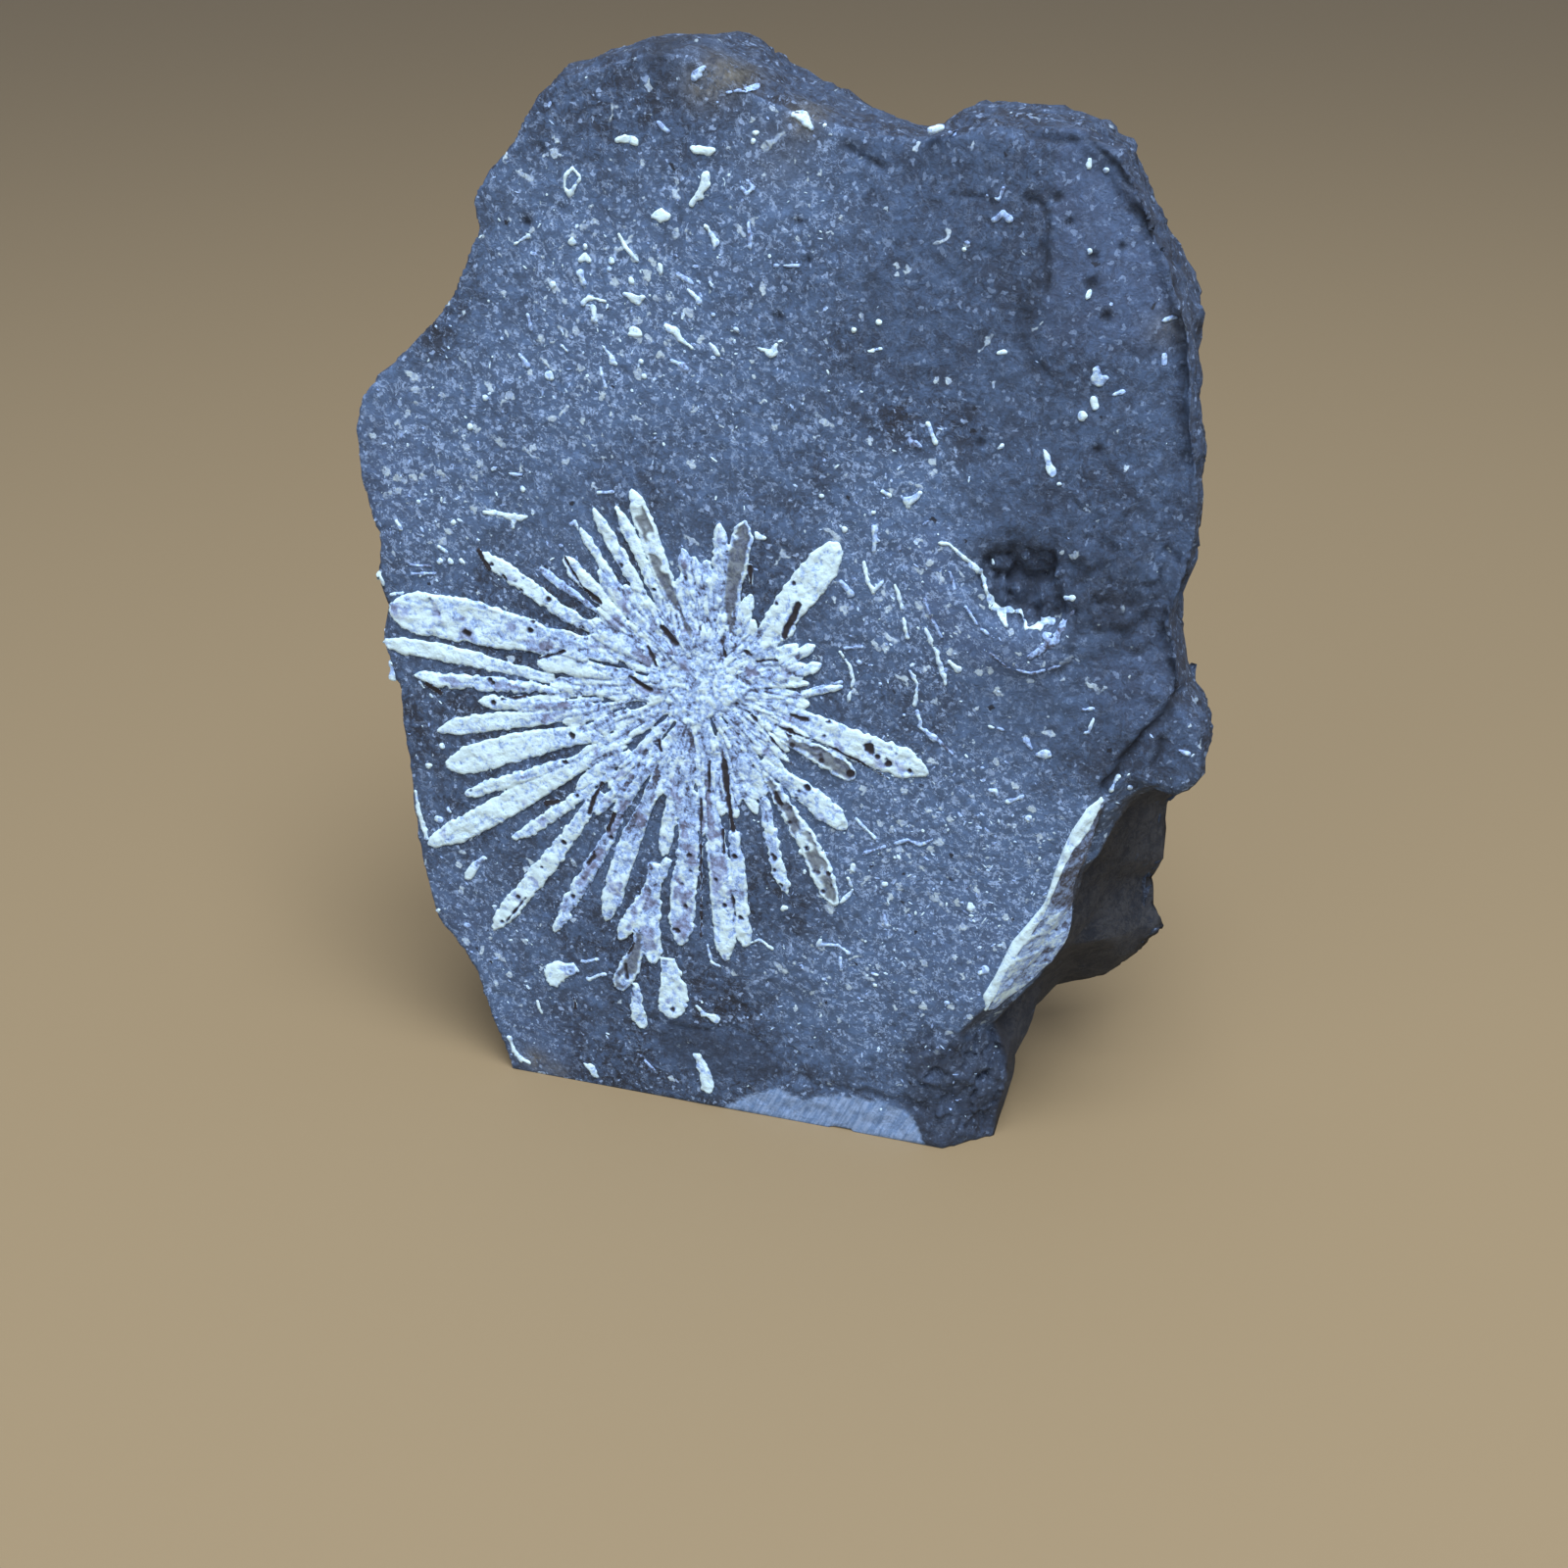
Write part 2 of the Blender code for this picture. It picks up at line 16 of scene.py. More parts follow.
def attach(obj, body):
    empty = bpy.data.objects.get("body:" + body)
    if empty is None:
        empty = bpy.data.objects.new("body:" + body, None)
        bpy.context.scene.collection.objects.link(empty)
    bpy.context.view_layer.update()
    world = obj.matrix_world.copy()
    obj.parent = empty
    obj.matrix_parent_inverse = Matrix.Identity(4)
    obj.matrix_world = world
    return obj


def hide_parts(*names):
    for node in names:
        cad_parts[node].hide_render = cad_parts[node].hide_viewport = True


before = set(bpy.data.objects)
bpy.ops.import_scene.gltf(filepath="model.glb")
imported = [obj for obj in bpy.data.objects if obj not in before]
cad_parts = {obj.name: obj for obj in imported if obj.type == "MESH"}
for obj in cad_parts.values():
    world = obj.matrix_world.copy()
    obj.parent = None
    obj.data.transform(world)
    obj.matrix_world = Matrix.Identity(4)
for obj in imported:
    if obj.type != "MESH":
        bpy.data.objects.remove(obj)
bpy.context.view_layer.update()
MM = 0.001


# Camera. It stands a little to the right of the stone's face, turned towards it, and looks down on it.
# Angles are in degrees.
FIELD_OF_VIEW = 45.0
LOOK_DOWN = 28.0
LOOK_LEFT = 16.566
CAMERA_PLACE = (0.0640, -0.2239, 0.1706)
SENSOR_WIDTH = 36.0

camera_data = bpy.data.cameras.new("photo_camera")
camera_data.sensor_width = SENSOR_WIDTH
camera_data.lens = SENSOR_WIDTH / 2 / math.tan(math.radians(FIELD_OF_VIEW / 2))
camera_data.clip_start = 0.01
camera_data.clip_end = 10.0
camera = bpy.data.objects.new("photo_camera", camera_data)
camera.location = CAMERA_PLACE
camera.rotation_euler = (math.radians(90.0 - LOOK_DOWN), 0.0, math.radians(LOOK_LEFT))
bpy.context.scene.collection.objects.link(camera)
bpy.context.scene.camera = camera


# Studio light. A large soft panel overhead, a weaker one in front to the left, and an even surround.
# The light is slightly cool, and the stone's blue comes from its own material.
KEY_WATTS = 13.4
KEY_COLOUR = (0.945, 0.975, 1.0)
SIDE_WATTS = 2.2
SIDE_COLOUR = (0.95, 0.98, 1.0)
SURROUND_COLOUR = (0.92, 0.95, 1.0, 1.0)
SURROUND_STRENGTH = 0.46


def soft_panel(name, place, aim, size, watts, colour):
    """A square area light at place, turned towards aim."""
    panel = bpy.data.lights.new(name, "AREA")
    panel.shape = "SQUARE"
    panel.size = size
    panel.energy = watts
    panel.color = colour
    made = bpy.data.objects.new(name, panel)
    made.location = place
    made.rotation_euler = (Vector(aim) - Vector(place)).to_track_quat("-Z", "Y").to_euler()
    bpy.context.scene.collection.objects.link(made)


soft_panel("key_panel", (0.22, -0.38, 0.95), (0, 0, 0.05), 0.55, KEY_WATTS, KEY_COLOUR)
soft_panel("side_panel", (-0.45, -0.85, 0.45), (0, 0, 0.06), 0.6, SIDE_WATTS, SIDE_COLOUR)
surround = bpy.data.worlds.new("studio_surround")
surround.use_nodes = True
surround.node_tree.nodes["Background"].inputs["Color"].default_value = SURROUND_COLOUR
surround.node_tree.nodes["Background"].inputs["Strength"].default_value = SURROUND_STRENGTH
bpy.context.scene.world = surround
bpy.context.scene.view_settings.view_transform = "Standard"


# Floor. A plain pale tan board under the stone, wide enough to fill the view.
BOARD_COLOUR = (0.262, 0.200, 0.118, 1.0)
BOARD_HALF = 3


def shader_of(material):
    """The material's main shader node."""
    return material.node_tree.nodes["Principled BSDF"]


def new_material(name, roughness):
    material = bpy.data.materials.new(name)
    material.use_nodes = True
    shader_of(material).inputs["Roughness"].default_value = roughness
    return material


board_material = new_material("tan_board", 0.75)
shader_of(board_material).inputs["Base Color"].default_value = BOARD_COLOUR
board_mesh = bpy.data.meshes.new("floor_board")
board_corners = [(BOARD_HALF * a, BOARD_HALF * b, 0) for a, b in ((-1, -1), (1, -1), (1, 1), (-1, 1))]
board_mesh.from_pydata(board_corners, [], [(0, 1, 2, 3)])
board_mesh.materials.append(board_material)
floor_board = bpy.data.objects.new("floor_board", board_mesh)
bpy.context.scene.collection.objects.link(floor_board)


# The slab. Natural dark limestone, split and weathered: its face is nearly flat, its edges and back are
# broken rough, and its foot is sawn. The mesh is the CAD solid, remade fine and roughened in code.
FACE_PLANE = -15.0
FACE_WAVE = 0.35
WAVE_LENGTH = 19.0
SLAB_VOXEL = 0.45 * MM
SLAB_TRIANGLES = 190000
# Points below the first height are the sawn foot and lie on the floor. The others stay above the second.
FOOT_POINTS = 0.12
LOWEST_SIDE = 0.06
# Points closer together than the first length are merged, and edges shorter than the second taken out
SAME_POINT = 0.005 * MM
NO_EDGE = 0.001 * MM


def lattice(steps, seed):
    """A repeatable random number from -1 to 1 for each whole-number position."""
    mixed = steps[:, 0] * 73856093 ^ steps[:, 1] * 19349663 ^ steps[:, 2] * 83492791 ^ seed * 40503
    mixed = (mixed ^ (mixed >> 13)) * 1274126177 & 0xFFFFFFFF
    mixed = (mixed ^ (mixed >> 16)) * 668265263 & 0xFFFFFFFF
    return ((mixed >> 8) & 0xFFFF) / 32767.5 - 1.0


def grain(points, size, seed=1):
    """Smooth random bumps of about the given size, from -1 to 1, at each point."""
    scaled = points / size
    base = np.floor(scaled).astype(np.int64)
    part = scaled - base
    part = part * part * (3 - 2 * part)
    total = np.zeros(len(points))
    for corner in range(8):
        step = np.array([corner & 1, corner >> 1 & 1, corner >> 2 & 1])
        weight = np.prod(np.where(step, part, 1 - part), axis=1)
        total += weight * lattice(base + step, seed)
    return total


def cells(points, size, seed=1):
    """For each point: the distance to the nearest scattered seed, in sizes, how much farther the second
    nearest is, and the nearest seed's own random number from -1 to 1."""
    scaled = points / size
    base = np.floor(scaled).astype(np.int64)
    near = np.full(len(points), 9.0)
    after = np.full(len(points), 9.0)
    value = np.zeros(len(points))
    for corner in range(27):
        there = base + np.array([corner % 3 - 1, corner // 3 % 3 - 1, corner // 9 - 1])
        spot = there + 0.5 + 0.45 * np.stack([lattice(there, seed + k) for k in (11, 12, 13)], axis=1)
        gap = np.linalg.norm(spot - scaled, axis=1)
        closer = gap < near
        after = np.where(closer, near, np.minimum(after, gap))
        near = np.where(closer, gap, near)
        value = np.where(closer, lattice(there, seed + 14), value)
    return near, after - near, value


def ramp(values, low, high):
    """0 below low, 1 above high, and a smooth slope between."""
    share = np.clip((values - low) / (high - low), 0, 1)
    return share * share * (3 - 2 * share)


def off_path(x, z, path):
    """Distance to a path of (x, z) points, and how far along its pieces the nearest point lies."""
    best = np.full(len(x), 1e9)
    place = np.zeros(len(x))
    for index, ((ax, az), (bx, bz)) in enumerate(zip(path, path[1:])):
        run_x, run_z = bx - ax, bz - az
        share = ((x - ax) * run_x + (z - az) * run_z) / max(run_x**2 + run_z**2, 1e-9)
        share = np.clip(share, 0, 1)
        gap = np.hypot(x - ax - share * run_x, z - az - share * run_z)
        closer = gap < best
        best = np.where(closer, gap, best)
        place = np.where(closer, index + share, place)
    return best, place


def blot(x, z, spots_wanted):
    """Soft round spots: each is (x, z, radius, strength)."""
    total = np.zeros(len(x))
    for a, b, radius, strength in spots_wanted:
        total += strength * np.exp(-(((x - a) ** 2 + (z - b) ** 2) / radius**2))
    return total


def coordinates(mesh):
    flat = np.empty(len(mesh.vertices) * 3)
    mesh.vertices.foreach_get("co", flat)
    return flat.reshape(-1, 3)


def point_normals(mesh):
    flat = np.empty(len(mesh.vertices) * 3)
    mesh.vertex_normals.foreach_get("vector", flat)
    return flat.reshape(-1, 3)


def paint(mesh, name, values):
    """Stores one number for each vertex under a name that the materials read."""
    layer = mesh.attributes.new(name, "FLOAT", "POINT")
    layer.data.foreach_set("value", np.asarray(values, np.float32))


def plain_copy(thing):
    """A new mesh of an object with all its modifiers applied."""
    thing_now = thing.evaluated_get(bpy.context.evaluated_depsgraph_get())
    return bpy.data.meshes.new_from_object(thing_now)


def mend(mesh):
    """Merges points that coincide and takes out back-to-back pairs of faces, so that the mesh is closed."""
    work = bmesh.new()
    work.from_mesh(mesh)
    bmesh.ops.remove_doubles(work, verts=work.verts, dist=SAME_POINT)
    bmesh.ops.dissolve_degenerate(work, edges=work.edges, dist=NO_EDGE)
    bmesh.ops.triangulate(work, faces=work.faces)
    for _ in range(3):
        work.verts.index_update()
        alike = {}
        for face in work.faces:
            alike.setdefault(frozenset(v.index for v in face.verts), []).append(face)
        pairs = [face for faces in alike.values() if len(faces) > 1 for face in faces]
        bmesh.ops.delete(work, geom=pairs, context="FACES")
    work.to_mesh(mesh)
    work.free()


def thinned(mesh, given_up, triangles):
    """The mesh brought down to a number of triangles, all taken from among the vertices given up."""
    draft = bpy.data.objects.new("thinning_draft", mesh)
    bpy.context.scene.collection.objects.link(draft)
    count_now = sum(len(p.vertices) - 2 for p in mesh.polygons)
    group = draft.vertex_groups.new(name="given_up")
    group.add(given_up, 1.0, "REPLACE")
    thinning = draft.modifiers.new("thinning", "DECIMATE")
    thinning.ratio = min(1.0, triangles / count_now)
    thinning.vertex_group = group.name
    made = plain_copy(draft)
    bpy.data.objects.remove(draft)
    mend(made)
    return made


def placed(name, mesh, slot_name, *materials):
    """Puts a finished mesh in the scene as a smooth piece of the stone."""
    for material in materials:
        mesh.materials.append(material)
    mesh.polygons.foreach_set("use_smooth", [True] * len(mesh.polygons))
    piece = bpy.data.objects.new(name, mesh)
    bpy.context.scene.collection.objects.link(piece)
    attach(piece, "root")
    return piece


# Cracks, steps and creases of the face: a path, its half width and its depth
GROOVES = [
    # the step line down the upper right, and the curved ledge at its head
    ([(28.9, 130.6), (31.0, 129.5), (31.6, 127.5), (31.4, 124.8), (32.0, 122.9), (32.0, 120.5)], 0.45,
     0.55),
    ([(30.2, 120.6), (30.0, 117.6), (29.7, 115.0), (31.1, 111.2)], 0.9, 0.4),
    ([(22.2, 130.2), (24.0, 130.3), (25.3, 129.7)], 0.45, 0.35),
    ([(28.9, 119.4), (29.2, 116.4)], 0.4, 0.3), ([(31.9, 112.6), (33.1, 111.0)], 0.4, 0.3),
    ([(8.6, 135.0), (11.2, 133.5), (12.9, 132.4)], 0.4, 0.45), ([(11.8, 129.8), (11.3, 128.2)], 0.4, 0.3),
    ([(12.3, 120), (11.9, 112.8)], 1.0, 0.22),
    # the worn rim of the upper right
    ([(28.9, 137.2), (30.6, 136.8), (31.9, 136.3), (33.5, 136.4)], 0.45, 0.5),
    ([(35.2, 136.7), (37.1, 135.0)], 0.5, 0.55), ([(37.7, 134.3), (39.9, 132.4), (42.2, 131.2)], 0.5, 0.55),
    ([(41.0, 129.3), (43.3, 127.1), (45.9, 124.6), (47.2, 121)], 0.8, 0.75),
    ([(46.4, 118), (47.4, 112), (47.7, 106.6), (48.7, 101.8)], 0.6, 0.45),
    # the knob and the edge above it
    ([(50.6, 73), (50.0, 71.5), (48.5, 69.3), (46.5, 66.7), (44.5, 62.9), (43.2, 59.8)], 0.6, 1.0),
    ([(49.5, 67.2), (48.6, 63.5)], 0.45, 0.7), ([(49.3, 77.0), (50.2, 74.1)], 0.45, 0.6),
    ([(48.2, 83.4), (47.9, 80.4)], 0.4, 0.5), ([(47.8, 91.3), (48.9, 89.9)], 0.5, 0.5),
    ([(45.8, 88.2), (46.0, 86.6), (47.5, 86.6), (47.4, 88.7)], 0.4, 0.4),
    # creases round the hollow
    ([(37.6, 83.1), (38.1, 80.1), (37.5, 76.6), (36.6, 74.8)], 0.6, 0.5),
    ([(36.5, 97.1), (37.7, 96.1)], 0.4, 0.35),
    # the spall's upper lip, and the fold above the sawn strip
    ([(-18.5, 13.6), (-12, 12.6), (-6, 14.2), (-0.5, 11.6), (1.2, 7.6)], 0.5, 0.3),
    ([(2.5, 8.2), (8, 6.8), (14, 7.6), (19, 6.6)], 0.6, 0.3),
]
# Small pits: x, z, radius
PITS = [
    (1.2, 115.7, 0.6), (3.5, 126.6, 0.5), (-27.2, 132.9, 0.6), (33.9, 128.1, 0.5), (32.4, 130.6, 0.6),
    (36.8, 124.6, 0.6), (36.8, 121.6, 0.8), (38.7, 118.2, 0.7), (25.4, 102.8, 0.6), (38.9, 103.1, 0.6),
    (39.7, 125.6, 0.5), (-29.7, 124.5, 0.6), (4.7, 122.3, 0.4), (41.6, 91.3, 0.6), (27.2, 88.2, 0.6),
]
EYE = (31.4, 85.6)
# The upper edge of the sawn strip: x, z
STRIP_TOP = [
    (-9, -2), (-7, 0.4), (-3, 3.6), (1, 5.4), (3.6, 4.6), (4.8, 3.8), (7, 5.2), (12, 6.1), (17, 6.0),
    (20.5, 4.6), (22, 2.0), (23, -2),
]
# Soft round spots, each x, z, radius and strength: where the face is crumpled, worn by the spall, pale
# and dark, the dark ones mostly painted shade in hollows and crumples, and where the knob is calmer than
# the edges round it
CREASED = [(40, 86, 6, 1.0), (45, 80, 6, 0.8), (37, 94, 5, 0.5), (44, 96, 6, 0.5)]
SPALLED = [(-14, 10.5, 4.5, 1), (-8, 9.8, 4.5, 1), (-2.5, 9.5, 3.8, 1)]
PALE = [(-52, 92, 9, 0.5), (-48, 24, 7, 0.5), (-36, 6, 7, 0.4), (28, 36, 8, 0.3), (46, 74, 5, 0.4)]
DARK_AND_SHADED = [(-13, 144.5, 2.6, 1.0), (40, 86, 6, 0.5), (45, 81, 5, 0.45), (34, 72, 7, 0.25), (2, 42, 6, 0.2)]
KNOB = [(51, 75.5, 5, 0.85)]
# The pale band round the hollow, as a path
HALO = [(20.4, 89.5), (21, 83), (23.6, 79), (28.5, 76.4), (34, 76)]

cad_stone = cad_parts["stone"]
flat_mesh = cad_stone.data.copy()
merging = bmesh.new()
merging.from_mesh(flat_mesh)
bmesh.ops.remove_doubles(merging, verts=merging.verts, dist=1e-6)
# The CAD solid's plain crystals are laid flat here, because finely cut ones take their place
for vertex in merging.verts:
    x, y, z = vertex.co / MM
    face_at = FACE_PLANE + FACE_WAVE * noise.noise(Vector((x, z, 0)) / WAVE_LENGTH)
    if y < face_at - 0.05 and z < 95 and (x < 25 or z < 62):
        vertex.co.y = face_at * MM
merging.to_mesh(flat_mesh)
merging.free()
slab_draft = bpy.data.objects.new("slab_draft", flat_mesh)
bpy.context.scene.collection.objects.link(slab_draft)
remade = slab_draft.modifiers.new("fine_skin", "REMESH")
remade.mode = "VOXEL"
remade.voxel_size = SLAB_VOXEL
slab_mesh = plain_copy(slab_draft)
bpy.data.objects.remove(slab_draft)

spots = coordinates(slab_mesh) / MM
turned = point_normals(slab_mesh)
x, y, z = spots.T
on_front = ramp(-turned[:, 1], 0.4, 0.75) * ramp(-y, 5, 9)
on_back = ramp(turned[:, 1], 0.5, 0.8)
above_foot = ramp(z, 0.3, 2.2)
# The broken corner, the foot's broken front corner, and the worn upper right edge
in_break = (1 - on_front) * ramp(x, 24, 28) * ramp(-z, -60, -56) * (1 - on_back)
foot_break = ramp(x, 17, 22) * ramp(-z, -21, -17) * ramp(-y, 4, 8)
worn = ramp(x, 33, 43) * ramp(z, 88, 100)

# Broken sides and back: plates along the bedding with small steps between them, then grain
_, _, plate = cells(spots * (1, 2.6, 1), 6.5, 3)
_, _, small_plate = cells(spots * (1, 2.2, 1), 2.7, 8)
side_rough = 0.50 * plate + 0.34 * small_plate + 0.45 * grain(spots, 4.2, 21) + 0.38 * grain(spots, 1.9, 22)
side_rough += 0.20 * grain(spots, 0.9, 23) - 0.34
# The face: fine grain with shallow pocks
pock_near, _, pock_value = cells(spots, 1.7, 31)
face_rough = 0.12 * grain(spots, 5.5, 41) + 0.12 * grain(spots, 2.1, 42) + 0.11 * grain(spots, 1.0, 43)
face_rough -= 0.2 * (1 - ramp(pock_near, 0.15, 0.4)) * (pock_value > 0.6)
front_share = on_front * (1 - 0.75 * foot_break) * (1 - 0.5 * worn)
side_share = (1 - front_share) * (1 - 0.85 * in_break) * (0.6 + 0.4 * on_back)
knob_calm = np.clip(blot(x, z, KNOB), 0, 1)
side_share *= 1 - knob_calm
_, back_rise, back_plate = cells(spots * (1, 0.2, 1), 15, 6)
_, _, back_scale = cells(spots * (1, 0.2, 1), 6.0, 7)
back_steps = 0.75 * back_plate + 0.30 * back_scale - 1.1 - 0.35 * (1 - ramp(back_rise, 0.0, 0.12))
side_rough += on_back * (back_steps + 0.55 * grain(spots, 17, 30))
foot_rough = 0.42 * small_plate + 0.36 * grain(spots, 2.3, 28) + 0.22 * grain(spots, 1.1, 29) - 0.25
push = front_share * face_rough + side_share * side_rough + foot_break * on_front * foot_rough
push *= above_foot

# Grooves, pits and the hollow's crumpled inside are carved out, and the paint marks them for painted shade
carve = np.zeros(len(x))
crevice = np.zeros(len(x))
wobble_x, wobble_z = x + 0.35 * grain(spots, 1.6, 26), z + 0.35 * grain(spots, 1.6, 27)
near_face = ramp(-y, 8, 10) * (1 - in_break)
for path, half_width, depth in GROOVES:
    gap, _ = off_path(wobble_x, wobble_z, path)
    cut = np.exp(-((gap / half_width) ** 2))
    carve += depth * cut
    crevice = np.maximum(crevice, cut * min(1, depth * 1.5))
for a, b, radius in PITS:
    cut = np.exp(-(((x - a) ** 2 + (z - b) ** 2) / radius**2) ** 1.5)
    carve += 0.55 * cut
    crevice = np.maximum(crevice, cut)
eye_gap = np.hypot((wobble_x - EYE[0]) / 1.15, wobble_z - EYE[1]) + 0.8 * grain(spots, 3.2, 52)
in_eye = 1 - ramp(eye_gap, 3.6, 6.0)
fold_place = spots * (1.0, 1.0, 0.6)
eye_folds = 1 - 1.9 * np.abs(grain(fold_place, 1.7, 53)) - 1.0 * np.abs(grain(fold_place, 0.85, 54))
carve += in_eye * (0.30 + 1.0 * eye_folds)
creased = blot(x, z, CREASED)
carve += 0.5 * np.clip(creased, 0, 1) * eye_folds * on_front
# The slab stands a little higher to the right of the step line and below the hollow
carve -= 0.25 * ramp(x, 31.4, 32.2) * ramp(z, 108, 114) * (1 - ramp(x, 40, 44))
halo_gap, _ = off_path(x, z, HALO)
carve -= 0.4 * np.exp(-((halo_gap / 2.4) ** 2))
push -= carve * near_face

spots += turned * push[:, None]
spots[:, 2] = np.where(z < FOOT_POINTS, 0.0, np.maximum(spots[:, 2], LOWEST_SIDE))
slab_mesh.vertices.foreach_set("co", (spots * MM).ravel())
slab_mesh.update()

# Paint for the materials: where the stone is rich in shell bits, pale, stained, broken or sawn, and its
# painted shade
rich = blot(x, z, [
    (-14, 116, 13, 0.82), (-24, 104, 12, 0.6), (-44, 98, 13, 0.75), (-47, 84, 9, 0.7), (0, 132, 10, 0.7),
    (14, 80, 9, 0.8), (15, 95, 8, 0.7), (12, 50, 13, 0.7), (28, 46, 13, 0.95), (24, 26, 13, 0.65),
    (22.5, 84.5, 4, 0.8), (25.5, 79.5, 4, 0.8), (31, 76.8, 4, 0.8), (36, 78.5, 3.5, 0.7),
    (-46, 30, 10, 0.6), (-38, 14, 10, 0.5), (-28, 130, 9, 0.4), (8, 24, 10, 0.6), (-2, 100, 12, 0.35),
    (30, 63, 9, 0.5),
])
rich = np.clip(rich + 0.25 * grain(spots, 9, 61) + 0.15 * grain(spots, 3, 62), 0, 1) * on_front
paint(slab_mesh, "speckled", rich)
calm = ramp(x, 6, 16) * ramp(z, 104, 112) + ramp(x, 22, 27) * ramp(z, 60, 66)
in_spall = blot(x, z, SPALLED)
calm = np.clip(calm + ramp(in_spall, 0.4, 0.8), 0, 1)
paint(slab_mesh, "calm", calm * on_front)
right_of_step = 0.5 * ramp(x, 31.6, 32.4) * ramp(z, 112, 118) * (1 - ramp(x, 44, 47))
pale = 0.75 * np.exp(-((halo_gap / 2.6) ** 2)) + right_of_step
pale += blot(x, z, PALE)
paint(slab_mesh, "pale", np.clip(pale, 0, 1) * (1 - crevice) * (1 - in_eye) * ramp(-y, 7, 12))
near_front = ramp(-y + 1.5 * grain(spots, 4, 72), 7, 12)
# Painted shade in the grooves, pits, hollow, crumples and spall, plus a few darker spots
dark = np.maximum(crevice, in_eye * np.clip(0.55 + 0.6 * eye_folds, 0, 1)) * near_face
dark = np.maximum(dark, 0.55 * ramp(in_spall, 0.4, 0.8) * on_front)
dark = np.maximum(dark, blot(x, z, DARK_AND_SHADED))
paint(slab_mesh, "dark", np.clip(dark, 0, 1) * near_front)
paint(slab_mesh, "broken", np.clip(in_break, 0, 1))
paint(slab_mesh, "foot", np.clip(foot_break, 0, 1))
# Painted shade: the sides, top and back are darker than the face
side_shade = (1 - on_front) * (1 - in_break)
paint(slab_mesh, "edge", side_shade)
stain = blot(x, z, [(-7.5, 140.8, 2.6, 0.9), (-4, 141.6, 2.2, 0.7), (4, 137.3, 1.8, 0.9), (1, 133, 4, 0.3)])
stain += blot(x, z, [(-36.5, 2.5, 2.2, 0.8), (-33, 1, 1.6, 0.6), (13, 61, 1.5, 0.3), (45, 117, 2.0, 0.5)])
paint(slab_mesh, "stain", np.clip(stain, 0, 1) * near_front)
strip_top = np.interp(x, *zip(*STRIP_TOP)) + 0.35 * grain(spots, 1.6, 71)
sawn = (1 - ramp(z - strip_top, -0.2, 0.2)) * on_front
paint(slab_mesh, "sawn", sawn)


